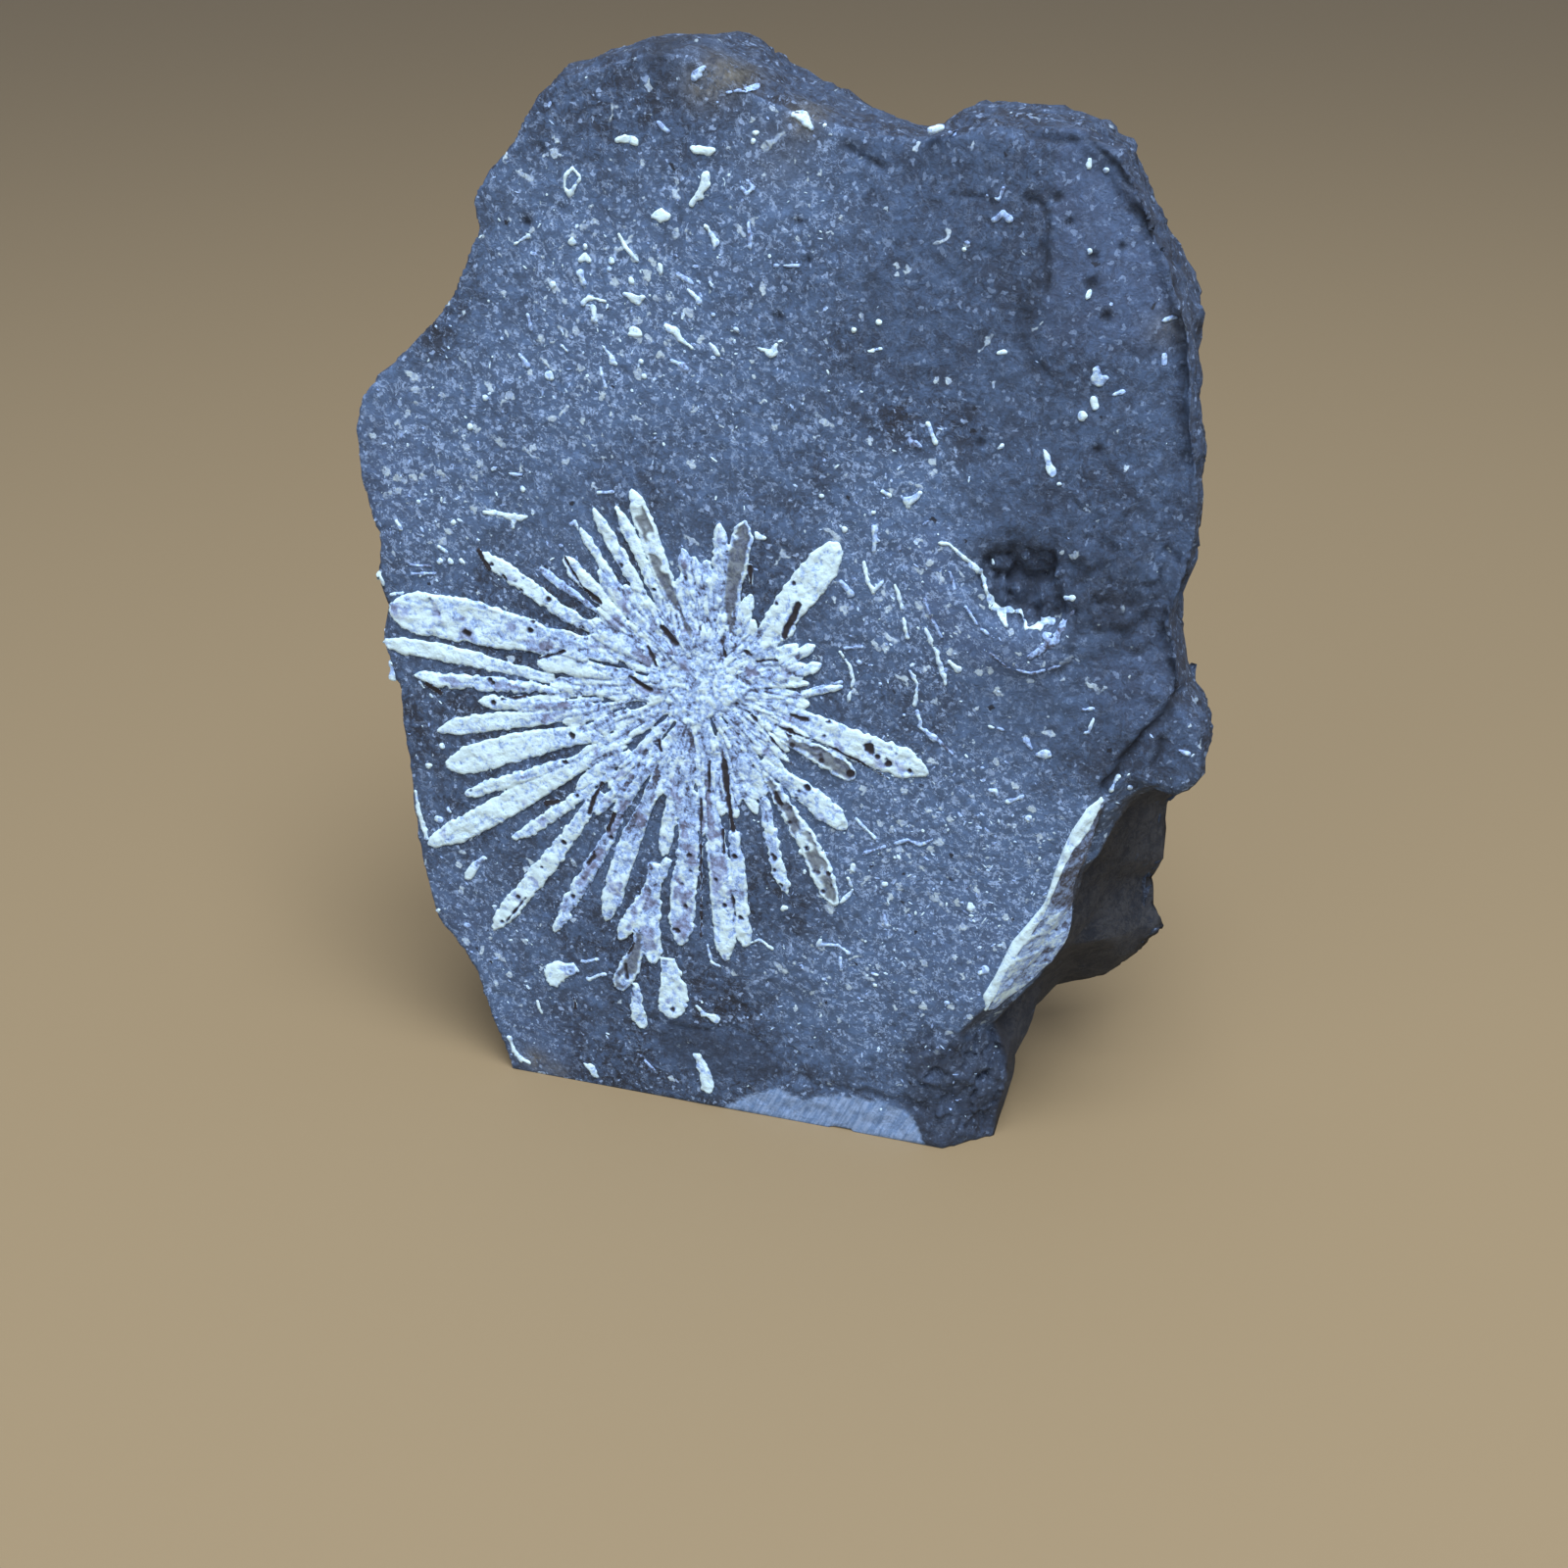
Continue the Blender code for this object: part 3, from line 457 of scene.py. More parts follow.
class Recipe:
    """Builds a material's node tree from short calls. Nearly every method returns a socket."""

    def __init__(self, material):
        self.tree = material.node_tree
        self.place = self.tree.nodes.new("ShaderNodeTexCoord").outputs["Object"]

    def node(self, kind, **settings):
        made = self.tree.nodes.new(kind)
        for name, value in settings.items():
            setattr(made, name, value)
        return made

    def feed(self, socket, value):
        """Links a socket, or sets a plain number or colour on it."""
        if isinstance(value, bpy.types.NodeSocket):
            self.tree.links.new(value, socket)
        else:
            socket.default_value = value

    def painted(self, name):
        return self.node("ShaderNodeAttribute", attribute_name=name).outputs["Fac"]

    def stretched(self, turn, scale, place=None, shift=0.0):
        """Coordinates moved, turned about Y by an angle in degrees, and then stretched."""
        mapping = self.node("ShaderNodeMapping", vector_type="TEXTURE")
        self.feed(mapping.inputs["Vector"], place or self.place)
        self.feed(mapping.inputs["Location"], (shift, shift, shift))
        self.feed(mapping.inputs["Rotation"], (0, math.radians(turn), 0))
        self.feed(mapping.inputs["Scale"], tuple(1 / part for part in scale))
        return mapping.outputs["Vector"]

    def warped(self, size, amount):
        """Coordinates pushed about by noise, so that round cells come out torn."""
        made = self.node("ShaderNodeTexNoise")
        self.feed(made.inputs["Vector"], self.place)
        self.feed(made.inputs["Scale"], 1 / size)
        self.feed(made.inputs["Detail"], 2.0)
        push_by = self.node("ShaderNodeVectorMath", operation="MULTIPLY_ADD")
        self.feed(push_by.inputs[0], made.outputs["Color"])
        self.feed(push_by.inputs[1], (amount, amount, amount))
        self.feed(push_by.inputs[2], self.place)
        return push_by.outputs["Vector"]

    def clouds(self, size, detail=3.0, rough=0.55, twist=0.0, place=None):
        """Noise with features of about size metres."""
        made = self.node("ShaderNodeTexNoise")
        self.feed(made.inputs["Vector"], place or self.place)
        self.feed(made.inputs["Scale"], 1 / size)
        self.feed(made.inputs["Detail"], detail)
        self.feed(made.inputs["Roughness"], rough)
        self.feed(made.inputs["Distortion"], twist)
        return made.outputs["Fac"]

    def threads(self, size, width, place=None):
        """Thin curling lines where noise crosses its middle: 1 on a line, 0 off it."""
        curls = self.clouds(size, 2.0, 0.6, 0.9, place)
        off_line = self.math("ABSOLUTE", self.math("SUBTRACT", curls, 0.5))
        return self.range(off_line, width, 0.0)

    def specks(self, size, place=None):
        """Cells of about size metres: distance to each cell's middle, and two random numbers."""
        made = self.node("ShaderNodeTexVoronoi")
        self.feed(made.inputs["Vector"], place or self.place)
        self.feed(made.inputs["Scale"], 1 / size)
        parts = self.node("ShaderNodeSeparateColor")
        self.feed(parts.inputs[0], made.outputs["Color"])
        return made.outputs["Distance"], parts.outputs[0], parts.outputs[1]

    def bits(self, size, crowd, largest, place=None):
        """Scattered bits: of all cells the share crowd, each with its own size up to largest."""
        gap, chance, own_size = self.specks(size, place)
        picked = self.math("GREATER_THAN", crowd, chance)
        reach = self.range(own_size, 0.0, 1.0, largest * 0.35, largest)
        ring = self.math("SUBTRACT", gap, reach)
        return self.math("MULTIPLY", self.range(ring, 0.05, -0.08), picked)

    def math(self, operation, a, b=0.0, clamp=False):
        made = self.node("ShaderNodeMath", operation=operation, use_clamp=clamp)
        self.feed(made.inputs[0], a)
        self.feed(made.inputs[1], b)
        return made.outputs[0]

    def range(self, value, low, high, to_low=0.0, to_high=1.0):
        made = self.node("ShaderNodeMapRange", interpolation_type="SMOOTHSTEP")
        for name, given in (
            ("Value", value), ("From Min", low), ("From Max", high), ("To Min", to_low), ("To Max", to_high)
        ):
            self.feed(made.inputs[name], given)
        return made.outputs["Result"]

    def mix(self, share, a, b, blend="MIX"):
        made = self.node("ShaderNodeMix", data_type="RGBA", blend_type=blend)
        self.feed(made.inputs["Factor"], share)
        self.feed(made.inputs[6], a)
        self.feed(made.inputs[7], b)
        return made.outputs[2]

    def bump(self, height, distance, strength=1.0, under=None):
        made = self.node("ShaderNodeBump")
        self.feed(made.inputs["Height"], height)
        self.feed(made.inputs["Distance"], distance)
        self.feed(made.inputs["Strength"], strength)
        if under is not None:
            self.feed(made.inputs["Normal"], under)
        return made.outputs["Normal"]


# Limestone's colours: dark ground mass, paler ground mass, shell white, the painted shade of crevices, the
# fracture and the stains
MATRIX_DARK = (0.025, 0.032, 0.054, 1)
MATRIX_MID = (0.068, 0.118, 0.238, 1)
MATRIX_PALE = (0.170, 0.300, 0.590, 1)
MATRIX_SMOOTH = (0.096, 0.150, 0.310, 1)
THREAD_PALE = (0.340, 0.500, 0.840, 1)
SHELL_WHITE = (0.60, 0.80, 0.99, 1)
CREVICE = (0.022, 0.031, 0.054, 1)
BREAK_GREY = (0.066, 0.074, 0.094, 1)
STAIN = (0.19, 0.175, 0.12, 1)

limestone = new_material("dark_limestone", 0.8)
rock = Recipe(limestone)
torn = rock.warped(0.0009, 0.0016)
torn_wide = rock.warped(0.0018, 0.0030)
speckled = rock.painted("speckled")
calm_here = rock.painted("calm")
patches = rock.clouds(0.016, 4, 0.6, 0.4)
blotches = rock.clouds(0.0032, 5, 0.65, 0.6)
fine = rock.clouds(0.0011, 6, 0.82, 1.1)
finest = rock.clouds(0.0003, 2, 0.6)
tone = rock.math("ADD", rock.math("MULTIPLY", blotches, 0.35), rock.math("MULTIPLY", fine, 0.65))
colour = rock.mix(rock.range(tone, 0.44, 0.57), MATRIX_DARK, MATRIX_MID)
richness = rock.range(rock.math("ADD", rock.math("MULTIPLY", speckled, 0.6), patches), 0.35, 1.0, 0.0, 0.42)
colour = rock.mix(richness, colour, MATRIX_PALE)
colour = rock.mix(rock.math("MULTIPLY", calm_here, 0.30), colour, MATRIX_MID)
colour = rock.mix(rock.math("MULTIPLY", rock.painted("pale"), 0.55), colour, MATRIX_SMOOTH)
# Pale curling threads and torn flecks in the ground mass
lines = rock.math(
    "MAXIMUM", rock.threads(0.0017, 0.05), rock.threads(0.0012, 0.05, rock.stretched(40, (1, 1, 2.0)))
)
elsewhere = rock.stretched(0, (1, 1, 1), None, 3.0)
broken_up = rock.range(rock.clouds(0.0010, 2, 0.6, place=elsewhere), 0.48, 0.58)
lines = rock.math("MULTIPLY", lines, broken_up)
thread_share = rock.range(speckled, 0.0, 1.0, 0.34, 1.0)
thread_share = rock.math("MULTIPLY", thread_share, rock.range(calm_here, 0.0, 1.0, 1.0, 0.55))
colour = rock.mix(rock.math("MULTIPLY", lines, thread_share), colour, THREAD_PALE)
flecks = rock.bits(0.0008, rock.range(speckled, 0.0, 1.0, 0.26, 0.62), 0.46, torn)
fleck_share = rock.range(calm_here, 0.0, 1.0, 0.80, 0.40)
colour = rock.mix(rock.math("MULTIPLY", flecks, fleck_share), colour, THREAD_PALE)
# White shell bits, crowded where the slab is richest in them
whites = rock.bits(0.0013, rock.range(speckled, 0.0, 1.0, 0.015, 0.34), 0.44, torn)
one_way = rock.stretched(35, (0.38, 1, 1.2), torn)
strokes = rock.bits(0.0017, rock.range(speckled, 0.0, 1.0, 0.02, 0.12), 0.34, one_way)
other_way = rock.stretched(-50, (0.34, 1, 1.3), torn_wide)
streaks = rock.bits(0.0018, rock.range(speckled, 0.0, 1.0, 0.015, 0.10), 0.30, other_way)
whites = rock.math("MAXIMUM", whites, rock.math("MAXIMUM", strokes, streaks))
shell_colour = rock.mix(rock.range(fine, 0.40, 0.56), THREAD_PALE, SHELL_WHITE)
colour = rock.mix(rock.math("MULTIPLY", whites, 0.92), colour, shell_colour)
# The broken corner, the foot, painted shade on the edges, in hollows and in tiny pits, stains and the sawn
# strip
break_colour = rock.mix(rock.range(tone, 0.42, 0.58), CREVICE, BREAK_GREY)
break_colour = rock.mix(rock.math("MULTIPLY", whites, 0.10), break_colour, MATRIX_PALE)
colour = rock.mix(rock.painted("broken"), colour, break_colour)
colour = rock.mix(rock.math("MULTIPLY", rock.painted("foot"), 0.62), colour, MATRIX_DARK)
# Painted shade: the sides, top and back are mixed towards the dark ground mass
colour = rock.mix(rock.math("MULTIPLY", rock.painted("edge"), 0.35), colour, MATRIX_DARK)
# Painted shade: grooves, pits, the hollow and the spall take the crevice colour
colour = rock.mix(rock.math("MULTIPLY", rock.painted("dark"), 0.85), colour, CREVICE)
# Tiny pits, painted black as shade
black_gap, black_chance, _ = rock.specks(0.0021, torn)
black_picked = rock.math("GREATER_THAN", 0.07, black_chance)
black_dots = rock.math("MULTIPLY", rock.range(black_gap, 0.2, 0.1), black_picked)
colour = rock.mix(black_dots, colour, CREVICE)
stain_share = rock.math("MULTIPLY", rock.painted("stain"), rock.range(fine, 0.35, 0.6, 0.1, 0.75))
colour = rock.mix(stain_share, colour, STAIN)
scratches = rock.clouds(0.0009, 3, 0.6, place=rock.stretched(24, (2.2, 1.0, 0.28)))
sawn_colour = rock.mix(rock.range(scratches, 0.34, 0.66), MATRIX_PALE, THREAD_PALE)
colour = rock.mix(rock.math("MULTIPLY", rock.painted("sawn"), 0.9), colour, sawn_colour)
rock.feed(shader_of(limestone).inputs["Base Color"], colour)
rock.feed(shader_of(limestone).inputs["Roughness"], rock.range(tone, 0.3, 0.7, 0.62, 0.9))
shader_of(limestone).inputs["Specular IOR Level"].default_value = 0.35
relief = rock.bump(fine, 0.00042, 1.0)
relief = rock.bump(finest, 0.00012, 0.8, relief)
relief = rock.bump(blotches, 0.0006, 0.6, relief)
relief = rock.bump(whites, 0.00010, 0.6, relief)
rock.feed(shader_of(limestone).inputs["Normal"], relief)

# The face keeps every triangle, and the back and sides give up what the limit asks
slab_mesh.materials.clear()
slab_mesh = thinned(slab_mesh, np.nonzero(on_front < 0.5)[0].tolist(), SLAB_TRIANGLES)
slab = placed("stone_slab", slab_mesh, "limestone", limestone)
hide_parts("stone")
slab_tree = BVHTree.FromObject(slab, bpy.context.evaluated_depsgraph_get())


# The flower. Blades of calcite that grew outwards from one point and were laid bare by weathering. Each
# blade is a pointed ribbon that stands a little proud, and they run together into a grainy heart.
HEART = (-9.3, 67.3)
HEART_RADIUS = 6.6
FLOWER_TRIANGLES = 165000
FLOWER_AREA = ((-57.5, 1.0), (23.5, 95.5))
FILL_BLADES = 210
FILL_SEED = 12
# How far apart the grid's points are, how deep a crystal is rooted in the slab, and left of which x the
# slab's edge is near
CUT = 0.2
PLATE_ROOT = 0.7
LEFT_EDGE = -38.0

# Each blade: inner end (x, z), tip (x, z), width, then shares from 0 to 1: how white it is, how much of
# its middle is glassy (up to 0.5) or worn back to stone (above 0.5), and how pitted it is
BLADES = [
    # right
    ((0, 66), (20.8, 58.8), 4.3, 0.95, 0.1, 0.35), ((2, 66.8), (9.5, 69.8), 1.0, 0.75, 0, 0),
    ((0.5, 69.2), (6.9, 72.4), 1.4, 0.8, 0, 0.1), ((0, 70.8), (6, 74.9), 1.4, 0.8, 0, 0.1),
    ((-3, 70), (8.4, 89), 4.2, 1.0, 0.05, 0.15),
    # top, from right to left
    ((-5.4, 74.6), (-3.4, 90.6), 2.8, 0.8, 0.9, 0.2), ((-7, 74.6), (-6.3, 90), 1.9, 0.75, 0.1, 0.3),
    ((-7.6, 74.6), (-8, 84.8), 1.6, 0.65, 0.2, 0.2), ((-8.4, 74.4), (-9.6, 85.2), 1.8, 0.65, 0.2, 0.2),
    ((-9.2, 74.2), (-11, 86), 2.0, 0.65, 0.2, 0.2), ((-10.4, 74), (-18.0, 92.9), 2.6, 0.95, 0.62, 0.15),
    ((-12.4, 73.2), (-19.8, 90.6), 1.7, 0.95, 0, 0.1), ((-14.4, 73.6), (-22.8, 90.2), 1.8, 0.9, 0, 0.25),
    ((-17, 74.6), (-24.8, 87.2), 1.2, 0.9, 0, 0.3), ((-13.8, 71.6), (-22.6, 81.8), 2.4, 0.8, 0.2, 0.3),
    ((-17.8, 72.4), (-27.2, 83.2), 2.2, 0.95, 0.1, 0.3), ((-23, 75.8), (-30.8, 81.3), 1.1, 0.5, 0, 0),
    ((-21, 72), (-39.3, 82), 2.3, 0.95, 0.05, 0.5), ((-15.2, 69.4), (-24, 73.2), 3.8, 0.85, 0.2, 0.2),
    # left, from the broad leaf downwards
    ((-25.4, 70.6), (-53.0, 73.2), 6.2, 0.9, 0.25, 0.3), ((-21.4, 67), (-32, 68), 3.0, 1.0, 0, 0),
    ((-30.5, 65.9), (-54.6, 67.9), 2.5, 1.0, 0, 0.05), ((-16.6, 64.6), (-30.4, 64.9), 2.1, 0.9, 0.1, 0.1),
    ((-29.8, 63.7), (-50.2, 63.7), 2.1, 0.8, 0.2, 0.6), ((-25, 62.4), (-40.8, 60.8), 2.1, 0.8, 0.2, 0.3),
    ((-23.8, 62.2), (-47.4, 55.5), 2.6, 0.95, 0.1, 0.15),
    ((-23.8, 58.6), (-46.8, 50.6), 4.1, 1.0, 0.05, 0.1),
    ((-25.4, 55.3), (-44, 46), 2.0, 0.85, 0.1, 0.6), ((-21, 56.9), (-50.8, 37.3), 3.5, 1.0, 0.1, 0.1),
    # lower left
    ((-22, 52.6), (-37.5, 40.2), 1.8, 0.85, 0.1, 0.5), ((-24.6, 49), (-41.4, 24.1), 2.8, 1.0, 0.05, 0.35),
    ((-18, 55), (-24.6, 46), 1.8, 0.75, 0.2, 0.2), ((-15, 56.6), (-22.4, 46.8), 1.8, 0.75, 0.2, 0.2),
    ((-20, 49.4), (-32, 25.7), 2.1, 0.65, 0.3, 0.6), ((-16, 52), (-21.2, 42), 1.8, 0.7, 0.2, 0.2),
    # bottom
    ((-15.4, 54.4), (-24.4, 29.2), 3.0, 0.75, 0.35, 0.05),
    ((-14.8, 40.4), (-22, 26.4), 2.2, 0.85, 0.2, 0.3),
    ((-12.8, 56.4), (-15, 41), 2.0, 0.8, 0.1, 0.1), ((-11, 61), (-12.2, 47), 2.6, 0.7, 0.2, 0.2),
    ((-16.8, 39.2), (-17.6, 23.2), 3.2, 0.8, 0.3, 0.4),
    ((-19, 28.4), (-22.3, 17.8), 2.9, 0.75, 0.6, 0.4), ((-20.4, 19.2), (-19.3, 11.6), 2.0, 0.85, 0.1, 0.4),
    ((-14.9, 24.3), (-14.6, 14.4), 4.2, 0.95, 0.05, 0.6), ((-11.4, 53), (-12.8, 27), 3.6, 0.75, 0.3, 0.5),
    ((-8, 53.4), (-6.6, 25.6), 3.4, 0.85, 0.3, 0.3), ((-5.4, 46), (-3.6, 28.4), 2.6, 0.85, 0.1, 0.4),
    # lower right
    ((-1.5, 54.4), (2.2, 37.8), 1.9, 0.8, 0.1, 0.7), ((-5.4, 59), (-1, 52.2), 4.4, 0.75, 0.2, 0.2),
    ((0, 55.2), (9.4, 37.6), 3.0, 0.9, 0.6, 0.5), ((-0.6, 57.8), (10.4, 49.2), 3.2, 0.85, 0.2, 0.4),
    ((2, 62), (11.4, 57), 2.8, 0.85, 0.6, 0.4),
    # slivers that lie apart from the flower
    ((-42.1, 36.4), (-45.4, 32.4), 1.3, 1.0, 0, 0), ((-29.4, 20.6), (-33.8, 17.4), 3.2, 0.95, 0, 0.5),
    ((-11, 8.9), (-9.2, 2.6), 1.9, 1.0, 0, 0.2),
]
# Slits in and beside the blades, painted black as shade: path, width
SLITS = [
    ([(-39.3, 82.6), (-38.9, 81.5), (-38.0, 80.3)], 0.7),
    ([(-27.3, 83.1), (-26.3, 81.3), (-24.8, 79)], 0.45),
    ([(-24.8, 79), (-22.7, 77.3)], 0.6), ([(-14.3, 75), (-12.5, 73)], 0.7),
    ([(-19, 67.4), (-16.2, 66)], 0.7),
    ([(-16.3, 72), (-15.3, 69.6)], 0.6), ([(-48.4, 62.6), (-46.6, 61.4)], 0.8),
    ([(-37.5, 61.7), (-34.2, 62.5)], 0.4),
    ([(-31.8, 68.3), (-28.1, 69.8)], 0.4), ([(-2.4, 84.6), (-2.4, 82.4)], 0.6),
    ([(3.8, 80.2), (3.1, 78.5)], 1.0),
    ([(3.1, 78.5), (2.0, 75.9)], 0.8), ([(2.8, 64.9), (5, 64.5)], 0.6), ([(-1.7, 71.8), (1, 72.4)], 0.4),
    ([(-2.9, 64.6), (-0.4, 62.2), (3.1, 57.8)], 0.28),
    ([(0.7, 63.2), (7.7, 61.3), (11.7, 59.6), (15.7, 57.6)], 0.3),
    ([(-6.3, 56.8), (-5.9, 53)], 0.9), ([(-5.9, 53), (-5.2, 46.7)], 0.6),
    ([(-15.3, 58.6), (-15, 57.2)], 0.5),
    ([(-6.3, 73.8), (-5.9, 71.9)], 0.4), ([(-23.7, 51), (-24.9, 48.7), (-25.8, 46.1)], 0.6),
    ([(-22.1, 46.6), (-23.1, 44)], 0.8), ([(-25.4, 39.5), (-26.2, 38.1)], 0.6),
    ([(-32.1, 46.6), (-30.3, 47.2)], 0.8),
    ([(-29.7, 15.1), (-29.6, 13.4)], 0.5), ([(-20, 26.3), (-21, 24.3)], 0.6),
    ([(-21.4, 22.5), (-21.3, 20.1)], 0.4),
    ([(-36.1, 30.9), (-39.5, 26.3)], 0.25), ([(0.7, 53.2), (1.4, 51.8)], 0.7),
    ([(-6.6, 46.5), (-6.5, 43.2)], 0.4),
    ([(-8.3, 56.5), (-8.5, 52.6)], 0.3), ([(-5.4, 36.7), (-5.1, 33.4)], 0.3),
    ([(-9.6, 50.9), (-10.1, 29)], 0.3),
]
# Holes in the blades, painted black as shade: x, z, radius
HOLES = [
    (-33.7, 77.6, 0.35), (-29.7, 77.1, 0.3), (-27.6, 57.7, 0.4), (-41.8, 70.8, 0.6), (-32.7, 72.2, 0.5),
    (-32.3, 73.7, 0.3), (-15.2, 80.1, 0.35), (-41.5, 62.7, 0.3), (-25, 82.3, 0.35), (-35.9, 79.1, 0.35),
    (10.8, 57.6, 0.5), (2.8, 62.4, 0.6), (3.1, 60.7, 0.4), (13.2, 61.7, 0.8), (15.7, 59.8, 0.5),
    (-3, 73, 0.3), (3.2, 83, 0.3), (0.9, 80.1, 0.3), (-4.5, 65.6, 0.35), (-29.8, 40.9, 0.35),
    (-28.7, 39.3, 0.3), (-33.3, 36.3, 0.35), (-34.4, 31.8, 0.4), (5.2, 54.7, 0.4), (5.6, 56.3, 0.3),
    (5, 45.6, 0.5), (-4.2, 33.2, 0.4), (-12.2, 33.5, 0.3), (-13.5, 29.5, 0.4), (-11.4, 39.4, 0.4),
    (-6.6, 34.8, 0.4), (-7.6, 38.7, 0.35), (18.6, 59.3, 0.35), (7, 59, 0.35), (-37.4, 80.9, 0.35),
]


LAYERS = ("stand", "white", "middle", "pitted", "root", "streak")


class Sheet:
    """A fine grid over the face, on which crystal is drawn as its depth inside its own outline."""

    def __init__(self, low, high, seed):
        self.across = np.arange(low[0], high[0], CUT)
        self.up = np.arange(low[1], high[1], CUT)
        self.x, self.z = (g.ravel() for g in np.meshgrid(self.across, self.up))
        self.flat = np.stack([self.x, np.zeros(len(self.x)), self.z], axis=1)
        self.depth = np.full(len(self.x), -9.0)
        self.under = np.full(len(self.x), -9.0)
        self.layers = {name: np.zeros(len(self.x)) for name in LAYERS}
        self.edge = 0.20 * grain(self.flat, 0.95, seed) + 0.19 * grain(self.flat, 0.5, seed + 1)

    def window(self, points, reach):
        """The grid points within reach of a list of (x, z) points' box."""
        points = np.array(points)
        low, high = points.min(axis=0) - reach, points.max(axis=0) + reach
        first, last = np.searchsorted(self.across, (low[0], high[0]))
        lowest, highest = np.searchsorted(self.up, (low[1], high[1]))
        return (np.arange(lowest, highest)[:, None] * len(self.across) + np.arange(first, last)).ravel()

    def draw(self, near, depth, **values):
        """Lays one body of crystal over the others where it is the deepest."""
        wins = depth > self.depth[near]
        self.under[near] = np.where(wins, self.depth[near], np.maximum(self.under[near], depth))
        won = near[wins]
        self.depth[won] = depth[wins]
        for name, value in values.items():
            self.layers[name][won] = value[wins] if isinstance(value, np.ndarray) else value

    def blade(self, root, tip, width, whiteness, core, pits, stand, ragged=1.0):
        """One blade, widest at a third from its tip."""
        near = self.window((root, tip), width + 1)
        root, tip = np.array(root, float), np.array(tip, float)
        length = np.linalg.norm(root - tip)
        run = (root - tip) / length
        dx, dz = self.x[near] - tip[0], self.z[near] - tip[1]
        along = (dx * run[0] + dz * run[1]) / length
        bend = 0.35 * np.sin(along * 5.0 + width * 7.0 + root[0])
        across = dx * run[1] - dz * run[0] + bend * min(1, width / 3)
        half = width / 2 * np.clip(along / 0.15, 0, 1) ** 0.5 * (1 - 0.42 * ramp(along, 0.4, 1.0))
        depth = half - np.abs(across) + ragged * (0.6 + 0.9 * pits) * self.edge[near]
        depth = np.minimum(depth, along * length * 0.9 + 0.1)
        depth = np.minimum(depth, (1.03 - along) * length * 0.6)
        own_number = np.full(len(near), root[0] + root[1])
        own_place = np.stack([across / 0.42, along * length / 3.2, own_number], axis=1)
        streak = grain(own_place, 1.0, 7) + 0.5 * grain(own_place * (2, 1.6, 1), 1.0, 8)
        self.draw(
            near, depth, stand=stand, white=whiteness, middle=core, pitted=pits, root=along, streak=streak
        )

    def stroke(self, path, whiteness, stand=0.20, ragged=1.15):
        """A shell bit or thread: a path of (x, z, width)."""
        path = list(path) if len(path) > 1 else [path[0], (path[0][0] + 0.05, path[0][1], path[0][2])]
        widths = [width for _, _, width in path]
        line = [(a, b) for a, b, _ in path]
        near = self.window(line, max(widths) + 0.6)
        gap, place = off_path(self.x[near], self.z[near], line)
        width_here = np.interp(place, range(len(widths)), widths)
        depth = width_here / 2 - gap + ragged * self.edge[near] * np.minimum(1, width_here / 0.8)
        self.draw(near, depth, stand=stand, white=whiteness)

    def body(self, name, rise, layers):
        """The closed mesh of all that was drawn, standing on the slab, with its paint."""
        inside = self.depth.reshape(len(self.up), len(self.across))
        kept = (inside[:-1, :-1] + inside[1:, :-1] + inside[:-1, 1:] + inside[1:, 1:]) / 4 > 0
        # Cells that meet only at a corner get a neighbour, so that four walls never share one edge
        for _ in range(4):
            a, b, c, d = kept[:-1, :-1], kept[:-1, 1:], kept[1:, :-1], kept[1:, 1:]
            crossed = (a & d & ~b & ~c) | (b & c & ~a & ~d)
            kept[:-1, :-1] |= crossed
            kept[:-1, 1:] |= crossed
        corner = np.arange(len(self.x)).reshape(inside.shape)
        round_cell = (corner[:-1, :-1], corner[:-1, 1:], corner[1:, 1:], corner[1:, :-1])
        quads = np.stack(round_cell, axis=-1)[kept]
        edges = np.concatenate([quads[:, [0, 1]], quads[:, [1, 2]], quads[:, [2, 3]], quads[:, [3, 0]]])
        both_ways = np.sort(edges, axis=1)
        _, first_seen, times = np.unique(both_ways, axis=0, return_index=True, return_counts=True)
        rim_edges = edges[first_seen[times == 1]]
        on_rim = np.zeros(len(self.x), bool)
        on_rim[rim_edges.ravel()] = True
        # Rim vertices slide to where the crystal really ends
        slope_z, slope_x = (slope.ravel() for slope in np.gradient(np.clip(inside, -0.6, 0.6), CUT))
        slide = np.clip(-self.depth / (slope_x**2 + slope_z**2 + 0.05), -1.2, 1.2)
        new_x = self.x + on_rim * np.clip(slide * slope_x, -0.6 * CUT, 0.6 * CUT)
        new_z = self.z + on_rim * np.clip(slide * slope_z, -0.6 * CUT, 0.6 * CUT)
        used = np.unique(quads)
        renumber = np.full(len(self.x), -1)
        renumber[used] = np.arange(len(used))
        quads, rim_edges = renumber[quads], renumber[rim_edges]
        new_x, new_z = new_x[used], new_z[used]
        ground = np.full(len(used), FACE_PLANE + 0.2)
        for index, (a, b) in enumerate(zip(new_x, new_z)):
            met = slab_tree.ray_cast(Vector((a * MM, -0.05, b * MM)), Vector((0, 1, 0)), 0.1)[0]
            # Past the left edge crystal keeps the face's level, so that it isn't drawn out along the side
            deepest = FACE_PLANE + (1.0 if a < LEFT_EDGE else 4.0)
            if met and met.y / MM < deepest:
                ground[index] = met.y / MM
        top = np.stack([new_x, ground - rise[used], new_z], axis=1)
        bottom = np.stack([new_x, ground + PLATE_ROOT, new_z], axis=1)
        count = len(used)
        rim_from, rim_to = rim_edges.T
        walls = np.stack([rim_to, rim_from, rim_from + count, rim_to + count], axis=1)
        mesh = bpy.data.meshes.new(name)
        faces = np.concatenate([quads, quads[:, ::-1] + count, walls])
        mesh.from_pydata((np.concatenate([top, bottom]) * MM).tolist(), [], faces.tolist())
        for layer_name, values in layers.items():
            paint(mesh, layer_name, np.concatenate([values[used], values[used] * 0.5]))
        return mesh


